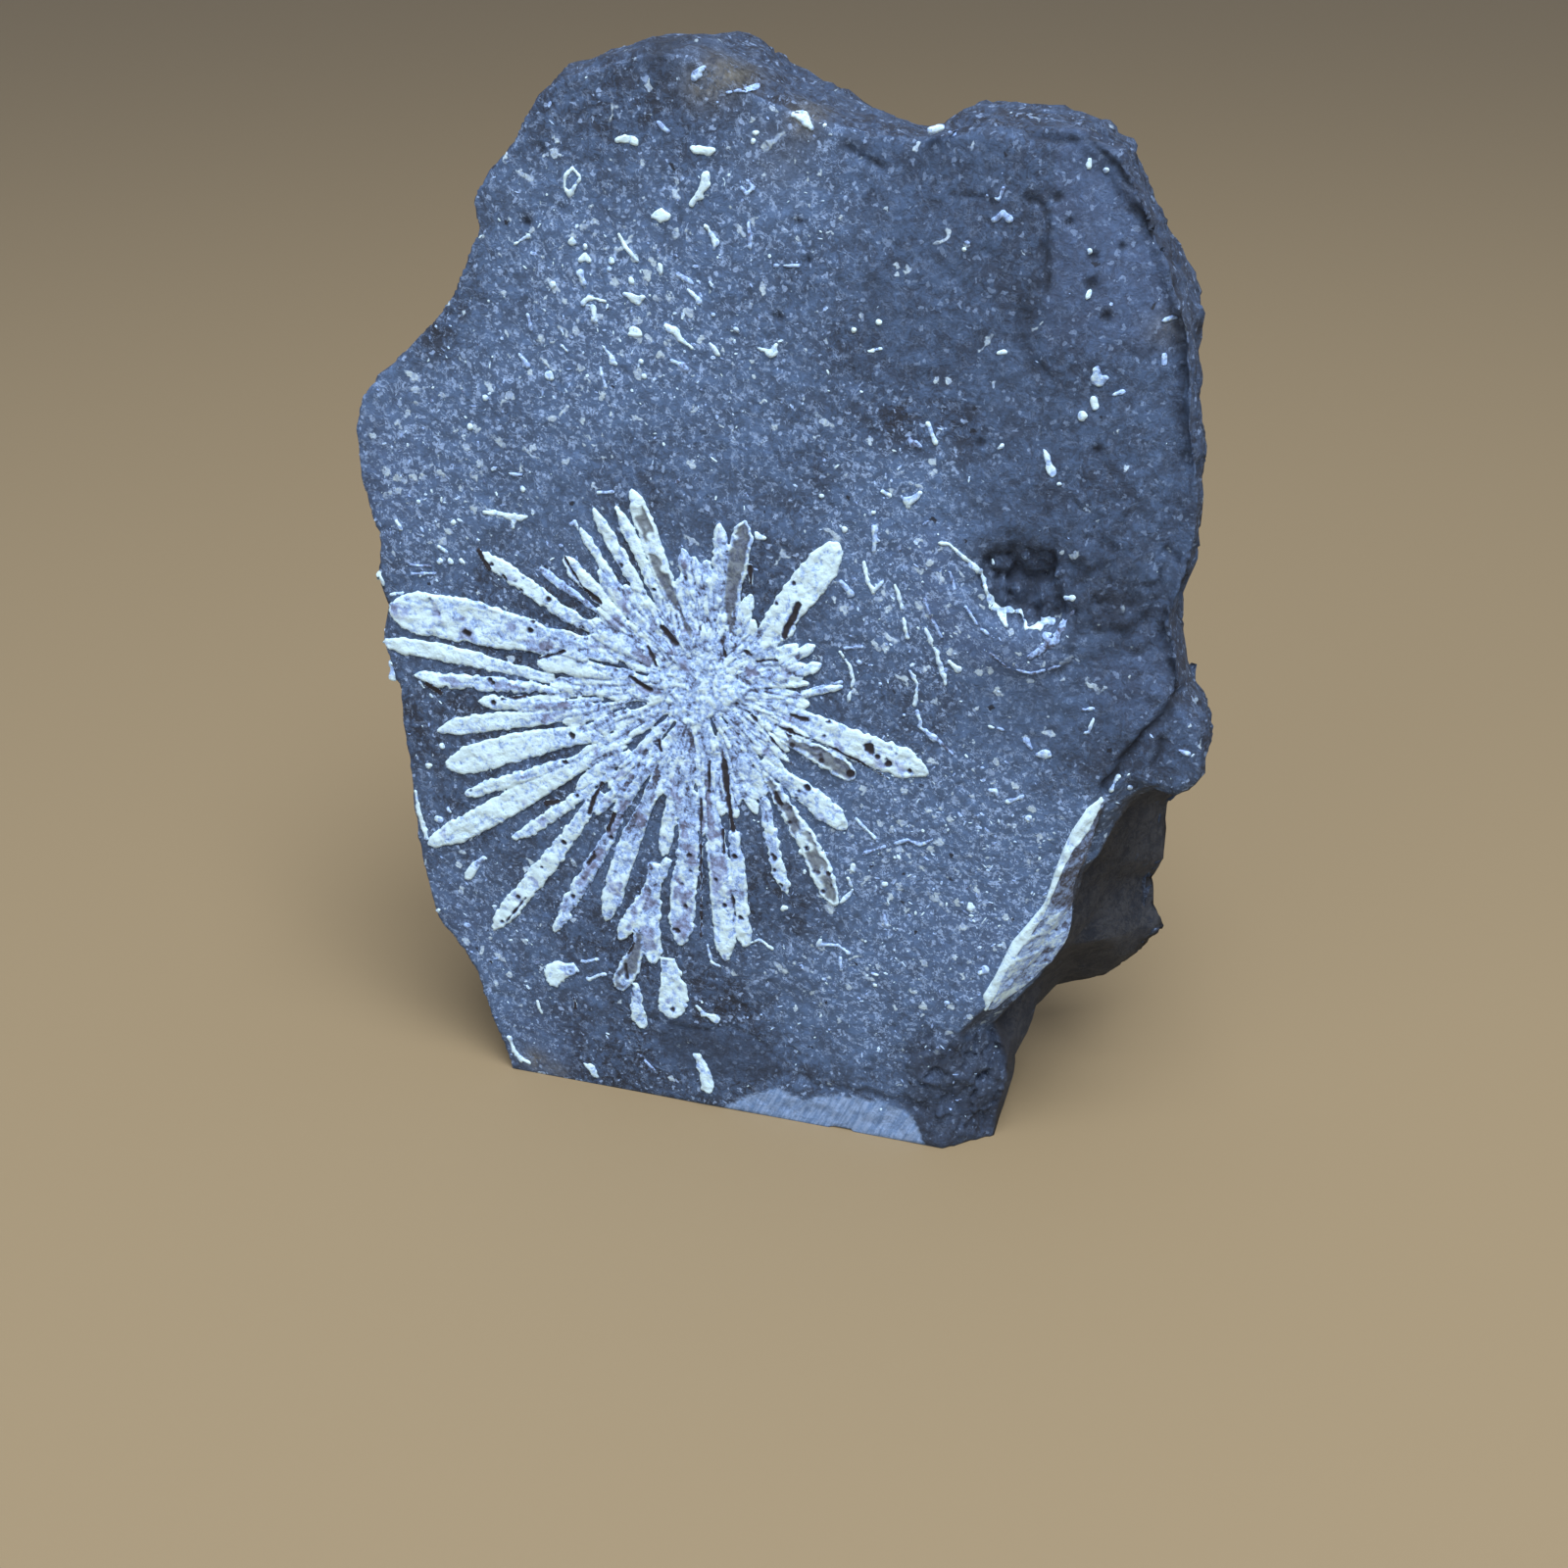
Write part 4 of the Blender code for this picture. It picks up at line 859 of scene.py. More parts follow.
flower_sheet = Sheet(*FLOWER_AREA, 101)
for index, (root, tip, width, whiteness, core, pits) in enumerate(BLADES):
    stand = 0.34 * (0.8 + 0.4 * math.sin(index * 2.4) ** 2)
    flower_sheet.blade(root, tip, width, whiteness, core, pits, stand)
# Short blades that fill the ground between the long ones, thickest at the lower left
chance = np.random.default_rng(FILL_SEED)
for index in range(FILL_BLADES):
    turn = chance.uniform(0, 2 * math.pi)
    lower_left = max(0.0, math.cos(turn - math.radians(225)))
    start = chance.uniform(2.5, 9.0 + 8 * lower_left)
    long = chance.uniform(4.5, 8.0 + 3.5 * lower_left)
    skew = turn + chance.normal(0, 0.07)
    root = (HEART[0] + start * math.cos(turn), HEART[1] + start * math.sin(turn))
    tip = (root[0] + long * math.cos(skew), root[1] + long * math.sin(skew))
    whiteness = chance.uniform(0.7, 1.0)
    width = chance.uniform(0.9, 1.9)
    stand = chance.uniform(0.22, 0.38)
    flower_sheet.blade(root, tip, width, whiteness, 0.1, 0.15, stand, 0.7)

# The heart: packed grains with no direction
sheet = flower_sheet
from_heart = np.hypot(sheet.x - HEART[0], sheet.z - HEART[1])
heart_depth = 0.42 * (HEART_RADIUS - from_heart) + 1.5 * grain(sheet.flat, 2.6, 111)
everywhere = np.arange(len(sheet.x))
sheet.draw(everywhere, heart_depth, stand=0.34, white=0.76, middle=0.0, pitted=0.2, root=0.35)
in_heart = (heart_depth >= sheet.depth).astype(float)

# Slits and holes, painted black as shade, are part of the sheet, so that they can cut a blade or lie beside
# it
slit = np.zeros(len(sheet.x))
for path, width in SLITS:
    near = sheet.window(path, width + 0.5)
    gap, _ = off_path(sheet.x[near], sheet.z[near], path)
    inner = width / 2 - gap + 0.5 * sheet.edge[near]
    slit[near] = np.maximum(slit[near], ramp(inner, -0.08, 0.12))
    sheet.depth[near] = np.maximum(sheet.depth[near], inner)
for a, b, radius in HOLES:
    near = sheet.window([(a, b)], radius + 0.6)
    inner = radius - np.hypot(sheet.x[near] - a, sheet.z[near] - b) + 0.8 * sheet.edge[near]
    slit[near] = np.maximum(slit[near], ramp(inner, -0.1, 0.15) * (sheet.depth[near] > 0.1))

_, grain_edge, grain_value = cells(sheet.flat, 0.62, 121)
pit_near, _, pit_value = cells(sheet.flat, 1.25, 131)
layers = sheet.layers
depth = sheet.depth
# Painted shade: where one blade lies over another, the seam is sunk a little and painted darker
shaded_seam = np.exp(-np.clip(depth - np.maximum(sheet.under, 0), 0, 9) / 0.13) * (sheet.under > 0.05)
# Pits on the pitted blades, the slits and the holes are sunk to the slab and painted black as shade
pit = (1 - ramp(pit_near, 0.2, 0.4)) * (pit_value > 1.12 - 0.95 * layers["pitted"]) * (depth > 0.2)
pit = np.maximum(pit, slit)
shoulder = 1 - np.exp(-np.clip(depth, 0, 9) / 0.13)
rise = layers["stand"] * (0.4 + 0.6 * shoulder)
rise += 0.05 * grain(sheet.flat, 1.3, 141) + 0.035 * grain_value + 0.05 * in_heart * grain_value
rise -= 0.05 * (1 - ramp(grain_edge, 0.0, 0.25)) * (0.4 + 0.6 * in_heart)
rise += 0.04 * layers["streak"] - 0.20 * shaded_seam
core_noise = grain(sheet.flat, 2.2, 151) + 0.5 * grain(sheet.flat, 0.9, 152)
core_from = 0.7 - 2.1 * layers["middle"]
core_full = 1.1 - 2.1 * layers["middle"]
core_share = ramp(depth, 0.28, 0.55) * ramp(core_noise, core_from, core_full)
hollow = core_share * (layers["middle"] > 0.5)
glassy = core_share * (layers["middle"] <= 0.5)
rise -= 0.2 * hollow
rise = np.maximum(rise * (1 - pit), 0.03)

rim = np.exp(-np.clip(depth, 0, 9) / 0.22)
whiteness = layers["white"] * (1 - 0.26 * ramp(layers["root"], 0.3, 0.95))
whiteness += (
    0.16 * rim + 0.13 * grain_value + 0.12 * grain(sheet.flat, 0.6, 153)
    + 0.10 * grain(sheet.flat, 1.7, 154)
)
whiteness += 0.17 * layers["streak"]
# Glassy middles are less white, and painted shade darkens the seams where blades overlap and the gaps
# between the heart's grains
whiteness -= 0.30 * glassy + 0.50 * shaded_seam + 0.18 * in_heart * (1 - ramp(grain_edge, 0.0, 0.2))
flower_paint = {
    "white": np.clip(whiteness, 0, 1.1) * (1 - pit), "glassy": glassy, "hollow": hollow, "pit": pit,
}
flower_mesh = sheet.body("flower_blades", rise, flower_paint)
underside = range(len(flower_mesh.vertices) // 2, len(flower_mesh.vertices))
flower_mesh = thinned(flower_mesh, list(underside), FLOWER_TRIANGLES)

SPAR_WHITE = (0.61, 0.84, 1.0, 1)
SPAR_BLUE = (0.30, 0.48, 0.90, 1)
SPAR_DEEP = (0.14, 0.20, 0.37, 1)
SPAR_SHADOW = (0.045, 0.052, 0.085, 1)
SPAR_GLASS = (0.27, 0.32, 0.56, 1)
WORN_DARK = (0.042, 0.048, 0.064, 1)
WORN_PALE = (0.110, 0.132, 0.190, 1)
PIT_SHADE = (0.018, 0.018, 0.028, 1)
calcite = new_material("white_calcite", 0.55)
spar = Recipe(calcite)
mottle = spar.clouds(0.0010, 4, 0.7, 0.5)
tiny = spar.clouds(0.00032, 3, 0.65)
uneven = spar.math("MULTIPLY", spar.math("SUBTRACT", mottle, 0.5), 1.9)
level = spar.math("ADD", spar.painted("white"), uneven)
level = spar.math("ADD", level, spar.math("MULTIPLY", spar.math("SUBTRACT", tiny, 0.5), 0.9))
spar_colour = spar.mix(spar.range(level, 0.0, 0.42), SPAR_SHADOW, SPAR_DEEP)
spar_colour = spar.mix(spar.range(level, 0.25, 0.62), spar_colour, SPAR_BLUE)
spar_colour = spar.mix(spar.range(level, 0.55, 0.98), spar_colour, SPAR_WHITE)
spar_colour = spar.mix(spar.math("MULTIPLY", spar.painted("glassy"), 0.45), spar_colour, SPAR_GLASS)
ground_mass = spar.mix(spar.range(mottle, 0.35, 0.6), WORN_DARK, WORN_PALE)
spar_colour = spar.mix(spar.math("MULTIPLY", spar.painted("hollow"), 0.85), spar_colour, ground_mass)
# Painted shade: pits, slits and holes are nearly black
spar_colour = spar.mix(spar.painted("pit"), spar_colour, PIT_SHADE)
spar.feed(shader_of(calcite).inputs["Base Color"], spar_colour)
spar.feed(shader_of(calcite).inputs["Roughness"], spar.range(mottle, 0.3, 0.7, 0.45, 0.7))
shader_of(calcite).inputs["Specular IOR Level"].default_value = 0.4
spar_relief = spar.bump(mottle, 0.00022, 0.8)
spar_relief = spar.bump(tiny, 0.00010, 0.8, spar_relief)
spar.feed(shader_of(calcite).inputs["Normal"], spar_relief)
placed("flower_blades", flower_mesh, "calcite", calcite)


# Shell bits. Broken shells, sea-lily rings and calcite threads in the limestone, harder than it, so that
# they stand out a hair. The larger ones that the face shows are drawn one by one.
# Each bit: how white it is, then its path of (x, z, width)
SHELL_BITS = [
    # upper left
    (1.0, (-23.5, 131, 0.35), (-22.6, 130, 0.4), (-23.3, 128.9, 0.35), (-24.1, 127.9, 0.4),
     (-24.6, 128.8, 0.35),
     (-24.4, 130.2, 0.35), (-23.5, 131, 0.35)),
    (1.0, (-17.9, 134.3, 0.4), (-16.9, 134.6, 0.9), (-15.8, 134.4, 0.9)),
    (1.0, (-8.6, 133.6, 0.9), (-7.4, 133.6, 0.9), (-6.3, 133.8, 0.4)),
    (1.0, (-7.1, 130.9, 1.2), (-7.6, 129.6, 1.1), (-9.1, 127.7, 0.5)),
    (1.0, (-13.8, 126.1, 0.5), (-12.8, 126.3, 1.9), (-12.0, 126.2, 1.0)),
    (0.6, (-2.4, 130.8, 0.3), (-1.7, 129.9, 0.35), (-2.5, 129.3, 0.3), (-3.2, 130, 0.3)),
    (0.9, (-7.5, 125.5, 0.3), (-6.9, 124.8, 0.4), (-6.4, 123.7, 0.8)),
    (0.6, (-6.4, 123.7, 0.35), (-6.5, 121.6, 0.25)),
    (0.7, (-2.3, 126.1, 0.3), (-2.2, 123.5, 0.7)), (0.9, (-31.4, 121.9, 0.3), (-29.6, 123, 0.6)),
    (1.0, (-18.2, 123.8, 0.5), (-17.4, 122.5, 0.4), (-15.9, 121, 0.4)),
    (0.9, (-23.3, 120.6, 0.5), (-22.5, 121.1, 0.5), (-22, 120.5, 0.5)),
    (0.7, (-23.2, 119.1, 0.7), (-23, 118, 0.6)),
    (0.9, (-23, 115.5, 0.5), (-22.2, 116.3, 0.4), (-20.1, 115.9, 0.3)),
    (0.75, (-21.8, 115, 0.7), (-21.6, 113.8, 0.7)),
    (0.9, (-13.2, 120.6, 0.45), (-13.1, 119.7, 0.4)),
    (0.9, (-17.7, 117, 0.4), (-16, 116.6, 1.1), (-15.2, 116.8, 0.5)),
    (1.0, (-17.4, 112.3, 0.6), (-16.6, 112.6, 1.5), (-15.9, 112.5, 0.8)),
    (0.9, (-12.7, 113.7, 0.4), (-11.3, 113, 0.9), (-11, 112.2, 0.5), (-9.4, 111.2, 0.3)),
    (0.7, (-21.2, 107.9, 0.25), (-20.6, 105.7, 0.3)), (0.8, (-20.7, 110.6, 0.3), (-19.5, 108.9, 0.9)),
    (0.9, (-7.2, 111.9, 0.35), (-6, 110.6, 0.5)),
    (0.9, (-1.3, 111.8, 0.4), (0.4, 111.4, 0.8), (0.9, 112.4, 0.3)),
    (0.6, (-10.8, 119.7, 0.6), (-8.8, 118.4, 0.5)), (0.8, (-9.9, 118.1, 0.4), (-8.6, 117.1, 0.6)),
    (0.6, (-12, 109.5, 0.4), (-10.2, 108.8, 0.6)), (0.6, (-30.3, 113.6, 0.4), (-29.9, 111.9, 0.4)),
    (0.7, (-31.7, 108.6, 0.5), (-30.7, 107.5, 0.6)), (0.8, (-26, 110.2, 0.35), (-25.3, 109.7, 0.4)),
    (0.8, (2.7, 137.9, 0.4), (4, 137.7, 0.9), (4.9, 136.6, 0.5)),
    (0.6, (-8.5, 141.4, 0.9), (-7.4, 142.4, 0.6)),
    (0.5, (-4.7, 140, 0.3), (-1.9, 140.4, 0.35)), (0.5, (-5.8, 139, 0.35), (-5.8, 137.7, 0.3)),
    (0.5, (-12.9, 136.4, 0.35), (-11.8, 135.5, 0.5)), (0.6, (0.7, 121.5, 0.25), (3.7, 121.7, 0.3)),
    (1.0, (-16.7, 118.6, 1.1)), (0.9, (-19.3, 120.8, 0.7)), (0.9, (-19.5, 119.7, 0.6)),
    (0.9, (-24.2, 122.6, 0.8)),
    (0.8, (-25.8, 122, 0.6)), (0.9, (-22.5, 122.2, 0.8)), (0.9, (-26.8, 117.5, 0.6)),
    (1.0, (-1.4, 135.8, 0.6)),
    (1.0, (-1.8, 135, 0.65)), (0.9, (-28, 106.4, 0.8)), (0.9, (-15.6, 107.4, 0.6)),
    (0.8, (-15.9, 109.1, 0.6)),
    (0.8, (-3.9, 113.8, 0.6)), (0.8, (-8.4, 116.8, 0.6)), (0.7, (-6.8, 115.4, 0.5)),
    (0.7, (-36.7, 103.1, 0.6)),
    # upper right
    (0.5, (24.8, 130.5, 0.3), (26.1, 130.1, 0.3), (26.6, 131.4, 0.3)),
    (0.6, (25.7, 127.9, 0.5), (26.7, 128.8, 0.5), (27.4, 128.1, 0.8)),
    (0.9, (11.9, 112.4, 0.4), (13.4, 112.8, 0.5)),
    (0.9, (27, 113.4, 0.4), (27.7, 113.5, 0.45)), (0.5, (44.7, 117.8, 0.5), (46, 118, 0.5)),
    (0.65, (38.2, 112.6, 0.7), (38.3, 111.1, 1.5), (39.1, 111.6, 0.8)),
    (1.0, (38, 108.9, 0.7), (38.2, 108.1, 0.8)),
    (0.7, (40.2, 109.6, 0.35), (41.3, 110, 0.45)), (0.8, (19.2, 104.6, 0.5), (20.2, 102.3, 0.4)),
    (0.45, (17.2, 102.3, 0.7), (18.2, 101.8, 0.9)), (0.9, (27.3, 102.1, 0.35), (28, 102.7, 0.4)),
    (0.8, (32.9, 102.6, 0.35), (33.4, 101.4, 0.6), (33.8, 100.3, 0.9)),
    (0.6, (22.2, 125.4, 0.3), (23, 125.3, 0.35)),
    (0.5, (27.8, 121.7, 0.35), (28.6, 121.7, 0.35)), (0.5, (45.1, 114, 0.4), (45.3, 113.1, 0.4)),
    (0.8, (18.3, 137.1, 0.6), (19.6, 137.3, 0.5)), (0.5, (20.1, 137.6, 0.35), (20.6, 136.3, 0.35)),
    (0.9, (36.9, 106.9, 0.8)), (0.9, (35.4, 134.5, 0.4), (35.4, 133.7, 0.45)), (0.9, (37.2, 133.4, 0.5)),
    (1.0, (22.5, 124.6, 0.55)), (1.0, (36.3, 125, 0.55)), (0.9, (36.7, 120.9, 0.35), (36.5, 120.1, 0.35)),
    (1.0, (10.2, 114.8, 0.5)), (0.9, (13, 115.8, 0.5)), (0.8, (34.9, 98.8, 0.5)),
    # the white rim of the hollow, and the pale ridges round it
    (0.9, (19.5, 90.3, 0.2), (22.4, 90.3, 0.25), (23.5, 89.3, 0.3), (26, 87.1, 0.65), (27.2, 84.5, 0.4),
     (27.8, 82.8, 0.5), (29.9, 80.7, 0.6)),
    (0.85, (27.8, 82.8, 0.3), (29, 82.1, 0.4), (31.1, 82.1, 0.3), (32.2, 80.5, 0.5), (33.5, 80.7, 0.7)),
    (0.7, (33.4, 81.6, 0.5), (35.1, 81.3, 0.9)),
    (0.6, (34.6, 79.9, 0.6), (36.2, 80.4, 0.8), (36.6, 82.6, 0.5)),
    (0.6, (24.8, 82.6, 0.3), (26.6, 80.2, 0.35), (28.4, 79.2, 0.3)),
    (0.5, (22.6, 86.8, 0.3), (23.3, 84.6, 0.35)),
    (0.42, (33, 77.2, 0.5), (34.5, 78.5, 0.9), (35.7, 79.5, 1.2), (36.6, 81.6, 0.9), (37.6, 83.1, 0.4)),
    (0.42, (28.1, 77.1, 0.25), (30.3, 75.4, 0.3), (33.2, 74.9, 0.3), (35.6, 75.8, 0.35), (37, 76.2, 0.25)),
    (0.9, (27.4, 88.5, 0.5), (27.6, 88, 0.5)), (0.7, (36.2, 84.6, 0.5), (37.3, 85, 0.7)),
    (0.9, (19.9, 79, 0.35), (21.4, 75.7, 0.6), (22.7, 72, 0.6)), (0.95, (23, 74.9, 0.4), (24.2, 74.2, 0.9)),
    (0.45, (19.7, 82.8, 0.4), (20.6, 80.6, 0.5), (22, 78, 0.4)),
    (0.9, (15.9, 84.2, 0.35), (16.9, 81.3, 0.4)),
    (0.95, (17.1, 79.9, 0.4), (17.7, 77.5, 0.45)),
    (0.8, (18.2, 73, 0.5), (19.1, 71.3, 0.5), (18.9, 68.4, 0.4)),
    (0.65, (19.3, 67.6, 0.4), (19.8, 65.3, 0.6), (21.5, 64.3, 0.8)),
    (0.45, (21.8, 64.1, 0.4), (24, 62.3, 0.35)),
    (0.95, (11.9, 86.6, 0.4), (12.4, 84.6, 0.5), (13.2, 82.9, 0.35)),
    (0.7, (13.2, 82.9, 0.3), (14.3, 84.4, 0.3)),
    (0.9, (41.1, 69.7, 0.35), (40.7, 67.9, 0.5), (40.2, 67.7, 0.5)),
    (0.6, (39.7, 70.7, 0.3), (41, 71, 0.3)),
    (0.6, (33, 65.8, 0.6), (33.7, 64.6, 0.7)), (0.75, (34.6, 63.8, 0.7), (35.7, 64, 1.0)),
    (0.6, (28.4, 66.9, 0.3), (30, 66.7, 0.4)), (0.6, (51.4, 66.3, 0.5), (52.7, 65.9, 0.6)),
    (0.8, (14.1, 95.7, 0.5), (14.9, 95.2, 0.5)), (0.8, (17.2, 94.9, 1.1), (18.5, 96.1, 0.5)),
    (0.9, (13, 93.2, 0.6)), (0.9, (9.3, 90.6, 0.6)), (0.8, (6.5, 94.5, 0.5)),
    (0.8, (-1.2, 88.8, 0.9), (-0.7, 88.6, 0.6)),
    (0.7, (13, 91.2, 0.6), (13.3, 89.7, 0.8), (13.1, 88.3, 0.5)),
    (0.6, (9.1, 83.8, 0.6), (10.4, 82.4, 0.7)),
    # right of the heart: fine threads and torn bits
    (0.85, (9.1, 74.4, 0.3), (10.4, 72.6, 0.35), (10.9, 70.8, 0.35), (10.3, 67.9, 0.35)),
    (0.7, (4.2, 68.2, 0.3), (6.8, 69.4, 0.3), (9.4, 70.4, 0.3)), (0.6, (9.8, 75, 0.3), (11.9, 75.5, 0.35)),
    (0.6, (14.3, 70.7, 0.5)), (0.6, (11.7, 73.3, 0.6)), (0.8, (18.9, 69.6, 0.5)), (0.7, (17.5, 66.9, 0.5)),
    # left
    (0.9, (-47.2, 88.4, 0.7)), (0.8, (-32.6, 91.5, 0.6)), (0.95, (-42.5, 86.1, 0.8)),
    (1.0, (-45, 80.4, 0.9)),
    (1.0, (-43.4, 80.6, 0.8)), (1.0, (-41.8, 80.8, 0.8)), (0.8, (-39.1, 84, 0.7)),
    (0.9, (-39.1, 99.1, 0.9)),
    (0.9, (-38, 87.8, 0.5), (-35.8, 88, 0.7), (-34.4, 87.6, 1.0), (-32.3, 87.8, 0.6)),
    (0.9, (-33.8, 88, 0.8), (-34.2, 86.3, 0.4)), (0.8, (-50.6, 85.5, 0.4), (-50, 84.5, 0.4)),
    (0.7, (-26.2, 87.5, 0.3), (-25.6, 88, 0.3), (-25.2, 86.8, 0.35)), (0.6, (-27.8, 84.4, 0.7)),
    (0.7, (-22.3, 92.1, 0.35), (-20.3, 92.4, 0.3)), (0.9, (-49.6, 62.6, 0.3), (-47.9, 60.6, 0.35)),
    (0.5, (-49.2, 79.6, 0.3), (-46.3, 79.6, 0.3)), (0.5, (-49.1, 78.3, 0.3), (-45, 78.8, 0.3)),
    (0.9, (-52.6, 74.9, 0.3), (-50.8, 75.4, 0.35)), (0.9, (-47, 53.4, 0.7)), (1.0, (-49.5, 50, 0.9)),
    (0.8, (-44.9, 82.5, 0.7), (-43.9, 81.9, 0.4)), (0.7, (-34.1, 93.4, 0.35), (-32.5, 93.4, 0.3)),
    (1.0, (-54.0, 77.8, 0.7), (-53.8, 76.4, 1.0)), (0.8, (-53.8, 64.8, 0.5), (-53.6, 62.4, 0.7)),
    (0.9, (-51.9, 45.4, 0.4), (-51.7, 42, 0.5), (-51.3, 40, 0.8), (-50.8, 38.2, 0.7)),
    (0.8, (-50.3, 26, 0.8)),
    # lower face
    (1.0, (-40.6, 5.6, 0.6), (-40.2, 3.4, 0.8), (-39, 2.2, 0.9), (-37.8, 1.8, 0.6)),
    (0.9, (-28.8, 3.4, 0.5), (-27.5, 2.6, 1.2), (-26.9, 1.5, 0.8)),
    (1.0, (-35.6, 13.2, 0.5), (-35.1, 11.2, 0.5)), (0.8, (-27.4, 18.7, 0.45), (-24.7, 20.2, 0.5)),
    (0.6, (-28.1, 21.6, 0.4), (-25.6, 22.4, 0.35)), (0.6, (-46.9, 43.4, 0.8)), (0.7, (-48.5, 41.5, 1.0)),
    (0.6, (-46, 24.3, 0.9)), (0.85, (-10.9, 17.2, 0.4), (-10, 16, 0.8), (-8.4, 15.4, 1.2)),
    (0.8, (-9.2, 27.8, 0.35), (-8.6, 25.1, 0.35), (-7.4, 24.6, 0.5)),
    (0.8, (-3.6, 28.7, 0.3), (-1.8, 29.9, 0.35), (0.2, 28.9, 0.3)),
    (0.9, (10.8, 42, 0.45), (11.4, 40.3, 0.5), (9.9, 38.1, 0.45)),
    (1.0, (11.4, 44, 0.5), (11.4, 43.2, 0.7)),
    (0.9, (-1.5, 52.8, 0.35), (-0.6, 50.7, 0.4), (0.1, 47.6, 0.35)), (1.0, (1.9, 35.8, 0.7)),
    (0.8, (11.7, 51, 0.35), (13, 49.6, 0.3), (14.3, 48.6, 0.35)), (0.9, (7, 31.5, 0.4), (6.5, 30.4, 0.4)),
    (0.6, (12.4, 45.8, 0.35), (13.5, 46.5, 0.3), (15.5, 47.5, 0.35)),
    (0.6, (16.9, 48.2, 0.35), (18.5, 48.9, 0.5), (20.3, 48.6, 0.35), (22, 49.8, 0.4)),
    (0.7, (6.7, 30.7, 0.35), (9.4, 31.2, 0.3), (10.9, 30.2, 0.5)),
    (0.7, (9.8, 29.3, 0.3), (10, 27.2, 0.35)),
    (0.6, (3.9, 26.7, 0.25), (4.3, 26.9, 0.25), (4.5, 26.4, 0.25), (4.1, 26.2, 0.25), (3.9, 26.7, 0.25)),
    (0.9, (14.4, 27.6, 0.5), (15.2, 27.6, 0.6)), (0.9, (14.7, 25.7, 0.6)), (0.9, (15.8, 41.9, 0.6)),
    (0.6, (15.7, 37.1, 0.3), (16.2, 35.5, 0.35)), (0.8, (27.3, 40.4, 1.2)),
    (0.7, (29.8, 31.1, 1.0), (29, 30.4, 0.7)),
    (0.8, (24.8, 24.9, 0.6)), (0.6, (28.4, 29.2, 0.6)), (0.7, (29.2, 46.2, 0.5)), (0.7, (32.5, 51, 0.5)),
    (0.7, (29, 58, 0.4), (29.7, 58.2, 0.4), (29.9, 57.5, 0.4)),
    (0.7, (31.2, 56.6, 0.5), (33.1, 57.8, 0.35)),
    (0.8, (33.9, 54.7, 0.6)), (0.8, (44.6, 61.6, 0.4), (44.2, 60.7, 0.6), (43.8, 59.4, 0.5)),
    (0.7, (46, 59.9, 0.6)),
    (0.5, (-20, 6.8, 0.3), (-17.8, 4.6, 0.4)),
]
BITS_AREA = ((-57.5, 1.0), (55.0, 145.5))
bit_sheet = Sheet(*BITS_AREA, 201)
for whiteness, *path in SHELL_BITS:
    bit_sheet.stroke(path, whiteness)
bit_rise = bit_sheet.layers["stand"] * (0.3 + 0.7 * (1 - np.exp(-np.clip(bit_sheet.depth, 0, 9) / 0.12)))
bit_rise = np.maximum(bit_rise + 0.04 * grain(bit_sheet.flat, 0.7, 205), 0.05)
bit_white = bit_sheet.layers["white"] + 0.12 * grain(bit_sheet.flat, 0.6, 206)
bit_mesh = bit_sheet.body("shell_bits", bit_rise, {"white": np.clip(bit_white, 0, 1.1)})
placed("shell_bits", bit_mesh, "calcite", calcite)


# The edge crystal. One long blade of calcite that the broken corner lays bare: a bright ribbon along the
# rim of the face, and behind its sharp edge a paler, cleaved side that runs down into the break.
RIBBON_INNER = [
    (43.2, 58.8), (41.1, 57.1), (39.5, 53.9), (38.6, 50.9), (37.8, 47.5), (37.2, 44.4), (36.7, 42.3),
    (34.7, 39.0), (32.9, 36.0), (30.9, 30.1), (29.5, 26.8), (30.5, 23.5),
]
RIBBON_OUTER = [
    (43.5, 58.6), (42.9, 56.3), (41.9, 53.6), (40.0, 51.2), (39.0, 48.5), (38.3, 46.0), (37.6, 42.6),
    (36.8, 39.7), (34.8, 36.3), (33.3, 33.4), (31.9, 29.8), (30.9, 23.7),
]
# The lower edge of the cleaved side: (x, z) and how far back from the face it lies
SIDE_FOOT = [
    (43.6, 58.3, 0.3), (43.2, 55.1, 0.9), (42.3, 52.5, 1.3), (41.0, 49.6, 1.9), (40.4, 46.6, 2.5),
    (40.1, 43.6, 3.2), (40.0, 41.0, 4.4), (40.0, 38.1, 4.9), (39.9, 34.9, 5.0), (37.9, 30.6, 4.8),
    (34.6, 25.6, 3.6), (31.1, 23.0, 0.8),
]
# Points along the crystal, across its ribbon and down its side
ALONG, OVER, DOWN = 150, 9, 20
RIBBON_LIFT = 0.34
SIDE_LIFT = 0.24
CRYSTAL_ROOT = 0.9


def resampled(points, count):
    """A smooth path through the points, at count even steps of the list."""
    points = np.array(points, float)
    at = np.linspace(0, len(points) - 1, count)
    given_at = range(len(points))
    return np.stack([np.interp(at, given_at, points[:, k]) for k in range(points.shape[1])], axis=1)


inner = resampled([(a, FACE_PLANE, b) for a, b in RIBBON_INNER], ALONG)
outer = resampled([(a, FACE_PLANE, b) for a, b in RIBBON_OUTER], ALONG)
side_foot = resampled([(a, FACE_PLANE + back, b) for a, b, back in SIDE_FOOT], ALONG)
rows_of_points = [inner + (outer - inner) * k / OVER for k in range(OVER)]
rows_of_points += [outer + (side_foot - outer) * k / DOWN for k in range(DOWN + 1)]
skin = np.stack(rows_of_points, axis=1).reshape(-1, 3)
rows_count = OVER + DOWN + 1
share = np.tile(np.arange(rows_count), ALONG)
station = np.repeat(np.arange(ALONG), rows_count) / (ALONG - 1)
on_ribbon = share < OVER
lift = np.where(on_ribbon, RIBBON_LIFT, SIDE_LIFT)
